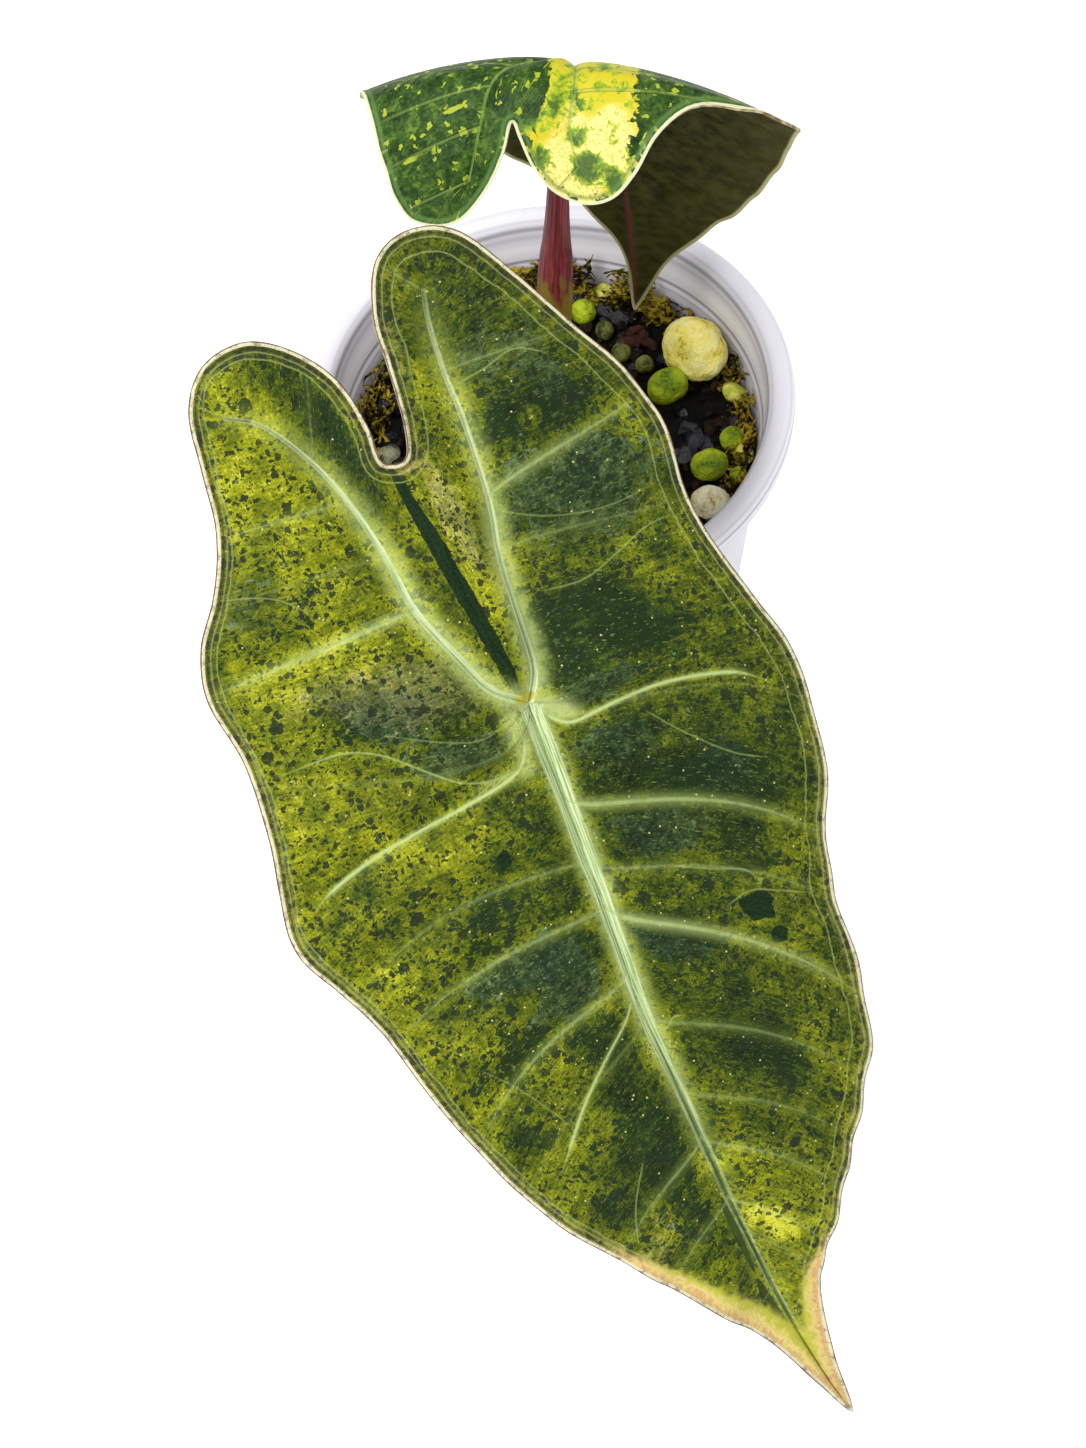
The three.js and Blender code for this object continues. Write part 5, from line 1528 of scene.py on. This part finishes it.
def lift_back(x, y, height):
    """Flat places and a height over them, to places in the scene, in millimetres."""
    across = np.array([math.cos(BACK_TURN), -math.sin(BACK_TURN), 0])
    behind = np.array([math.sin(BACK_TURN), math.cos(BACK_TURN), 0])
    marks = np.arange(1 - BACK_REACH, BACK_REACH)
    slopes = back_pitch(marks[:-1] + 0.5)
    run = np.concatenate([[0], np.cumsum(np.cos(slopes))])
    rise = np.concatenate([[0], np.cumsum(np.sin(slopes))])
    middle = BACK_REACH - 1
    pitch = back_pitch(y)
    dip, dip_place, dip_length = JOINT_DIP
    out = height - dip * np.exp(-((y - dip_place) / dip_length) ** 2)
    away = np.interp(y, marks, run - run[middle]) - np.sin(pitch) * out
    up = np.interp(y, marks, rise - rise[middle]) + np.cos(pitch) * out
    up = up - SIDE_DROOP * (x / HALF_WIDTH) ** 2
    return (BACK_JOINT + x[..., None] * across + away[..., None] * behind
            + up[..., None] * np.array([0, 0, 1.0]))


BACK_LEAF = {
  "lift": lift_back,
  "step": 5.2,
  "half_width": 43,
  "droop": 0,
  "valley": 1.2,
  "valley_width": 7,
  "quilt": 0.9,
  "wave": 1.4,
  "fan_step": 8,
  "outline": [
    [-9.6, -19.6], [-8, -22.5], [-5, -28.5], [-0.5, -33.5], [5.5, -35], [11.5, -32.5], [16, -26.5],
    [20, -18], [27, -10.5], [36.5, -7], [43.5, -3], [46, 6], [44, 18], [41.5, 30], [37.5, 42],
    [32, 55], [22.5, 70.5], [13.5, 87], [5.3, 105], [4, 89], [0.5, 76], [-6, 65], [-14, 54],
    [-22, 43.5], [-31, 33], [-40, 21], [-47, 8], [-46, -3], [-41, -14], [-37.5, -24], [-35, -31.5],
    [-31.5, -37.5], [-25, -40], [-19.5, -38.5], [-14, -32], [-10.8, -25],
  ],
  "ribs": {
    "mid": [[0, 0], [1, 10], [2.5, 24], [4.2, 40], [5.6, 57], [5.8, 74], [5.6, 90], [5.3, 105]],
    "right": [[0, 0], [1.5, -7], [2.2, -13], [2, -20], [4, -28]],
    "left": [[0, 0], [-5, -3.5], [-11, -6.5], [-15, -12], [-16.4, -20], [-18.5, -31]],
  },
  # Knots of the rows: rib point, outline point, hook, sag, and the strength of a vein there.
  "walk": [
    ("right", [
      [0, 0, 0, 0], [1, 0.5, 0, 0], [2, 1.1, 0, 0], [3, 1.8, 0, 0], [4, 3, 0, 0, 1], [4, 5, 0, 0],
      [3, 6.6, 0, 0], [2, 8.6, 0, 0, 1], [1, 10, 0, 0, 1], [0, 11, 0, 0]]),
    ("mid", [
      [0, 11, 0, 0], [0, 12.2, 0.12, 0.15, 1], [1, 13.1, 0.1, 0.2, 1], [2, 14.2, 0.1, 0.24, 1],
      [3, 15.2, 0.1, 0.24, 1], [4, 16, 0.1, 0.24, 1], [5, 16.7, 0.06, 0.2], [6, 17.3, 0, 0.1],
      [7, 18, 0, 0, 1], [6, 18.8, 0, 0.1], [5, 19.6, 0.06, 0.2], [4, 20.4, 0.1, 0.24, 1],
      [3, 21.5, 0.1, 0.24, 1], [2, 22.8, 0.1, 0.24, 1], [1, 24.2, 0.1, 0.2, 1],
      [0, 25.2, 0.12, 0.1], [0, 26, 0, 0]]),
    ("left", [
      [0, 26, 0, 0], [1, 26.6, 0, 0], [2, 27.3, 0, 0, 1], [3, 28.2, 0, 0, 1], [4, 29.2, 0, 0, 1],
      [5, 30.6, 0, 0, 1], [5, 32.4, 0, 0], [4, 33.6, 0, 0], [3, 34.5, 0, 0], [2, 35.1, 0, 0],
      [1, 35.6, 0, 0], [0, 36, 0, 0]]),
  ],
  "rib_widths": {"mid": (1.3, 0.4), "right": (0.9, 0.3), "left": (0.9, 0.3)},
  "rib_fades": {"mid": (0.6, 1, 0.5), "right": (0.6, 1, 0), "left": (0.6, 1, 0)},
  "streaks": [],
  "threads": [
    (0.6, (7.1, -10.6), (12.9, -9.2), (26.3, -4.8)),
    (0.6, (-13, -7), (-22, -10), (-33, -10)),
  ],
  "base": {"yellow": -0.3, "cream": 0, "light": 0.3, "blotch": 0.08},
  "patches": {
    "yellow": [
      (5, -23, 15, 13, 90, 1.3), (6, -5, 14, 8.5, 90, 1.2), (1, 25, 32, 9, 90, 1.0),
      (-9, -14, 7, 4, 45, -0.7), (-32, -26, 5, 3, 80, 0.45),
    ],
    "cream": [(4, -28, 10, 12, 0, 0.7), (12, -20, 8, 5, 90, 0.5), (-36, -26, 5, 3, 90, 0.9)],
    "light": [(-30, -18, 16, 10, 60, 0.05), (-33, -34, 8, 6, 0, 0.1)],
    "blotch": [
      (6, -27, 3.4, 3.2, 0, 1.1), (11.5, -28.5, 2.6, 2.2, 30, 1.1), (-3.5, -26, 1.6, 2.4, 0, 0.9),
      (3.5, -21, 3, 2.0, 60, 0.6), (15, -22, 2, 2, 0, 0.6), (-6, -18, 3, 2.0, 45, 0.5),
      (8, -6, 5, 3, 30, 0.35), (1, -12, 7, 4, 80, 0.34), (-3, -18, 5, 3, 60, 0.34),
      (6, -14, 5, 3, 30, 0.26),
    ],
  },
}

# %% [markdown]
# ### Back leaf finish
#
# This leaf is variegated: most of it is deep green with yellow flecks, and one sector, from the
# right lobe back over the fold, is cream and yellow with green blotches. The border between the
# two is jagged, because it follows the small fields between the fine veins. A Voronoi pattern
# gives such fields, so it pushes the patches' borders about.

# %% Back leaf top
back_top, tree, surface = new_finish("back_leaf_top", roughness=0.45, Specular_IOR_Level=LEAF_SHINE)
plan = map_place(tree, "plan")
clouds = noise(tree, plan, 0.12, detail=4)
mottle = noise(tree, plan, 0.34, detail=5, rough=0.65, warp=0.8)
grain = noise(tree, map_place(tree, "lanes", (0.9, 0.22, 1)), 1, detail=3)
fine = noise(tree, plan, 1.3, detail=4, rough=0.75)
fields = cells(tree, shaken(tree, plan, 0.7, 1.2), 0.55).outputs["Color"]
sector = fade(tree, add_up(tree, measured(tree, "yellow"), (fields, 0.60), (mottle, 0.8)), 0.38, 0.44)

tone = add_up(tree, 0.5, (mottle, 0.9), (fine, 0.7), (grain, 0.3), (fields, 0.20))
green = palette(tree, tone, [(0.25, (0.004, 0.018, 0.002)), (0.50, (0.026, 0.066, 0.009)),
                             (0.75, (0.10, 0.17, 0.025))])
light_green = add_up(tree, measured(tree, "light"), (mottle, 2.0), (fields, 0.4))
green = lay_over(tree, fade(tree, light_green, 0.55, 0.75), green, (0.11, 0.19, 0.018))
rough_plan = shaken(tree, plan, 0.8, 2.6)
fleck_lanes = shaken(tree, map_place(tree, "lanes", (0.9, 0.42, 1)), 1.2, 1.2)
flecks = sums(tree, "MAXIMUM", seeded_spots(tree, rough_plan, 0.62, 0.14),
              seeded_spots(tree, fleck_lanes, 0.42, 0.05))
yellow_flecks = times(tree, fade(tree, clouds, 0.38, 0.50), flecks)
green = lay_over(tree, times(tree, yellow_flecks, 0.9), green, (0.36, 0.42, 0.03))

cream = fade(tree, add_up(tree, measured(tree, "cream"), (clouds, 1.6)), 0.20, 0.60)
yellow = lay_over(tree, cream, (0.55, 0.47, 0.015), (0.84, 0.69, 0.23))
yellow = lay_over(tree, fade(tree, fine, 0.50, 0.62), yellow, (0.50, 0.46, 0.05))
blotch_mark = add_up(tree, measured(tree, "blotch"), (fields, 0.6), (mottle, 2.4))
yellow = lay_over(tree, times(tree, fade(tree, blotch_mark, 0.34, 0.40), 0.92), yellow, palette(
    tree, add_up(tree, blotch_mark, (fine, 1.0)), [
        (0.40, (0.34, 0.43, 0.02)), (0.66, (0.12, 0.24, 0.015)), (0.95, (0.016, 0.085, 0.018))]))
colour = lay_over(tree, sector, green, yellow)

vein_core = times(tree, fade(tree, measured(tree, "vein_far"), 0.50, 0.15),
                  measured(tree, "vein_power"))
rib_core = fade(tree, measured(tree, "rib_step"), 1.2, 0.5)
line = sums(tree, "MAXIMUM", times(tree, vein_core, 0.40), times(tree, rib_core, 0.6))
colour = lay_over(tree, line, colour, (0.26, 0.38, 0.09))
margin = measured(tree, "margin_far")
colour = lay_over(tree, times(tree, bell(tree, margin, 1.4, 0.8), 0.7), colour, (0.10, 0.20, 0.05))
colour = lay_over(tree, fade(tree, margin, 0.75, 0.5), colour, (0.62, 0.64, 0.40))
wire(tree, surface.inputs["Base Color"], colour)
height = add_up(tree, times(tree, vein_core, -0.8), (grain, 0.5), (mottle, 0.6))
relief_bump(tree, surface, height, 0.4 * MM)

# %% Back leaf blade
back_under = underside("back_leaf_underside", (0.009, 0.010, 0.001), (0.060, 0.055, 0.010),
                       (0.10, 0.020, 0.012))
back_blade = blade("back_leaf", BACK_LEAF, thickness=0.5)
finish_blade(back_blade, "blade_back", back_top, back_under, cream_edge)
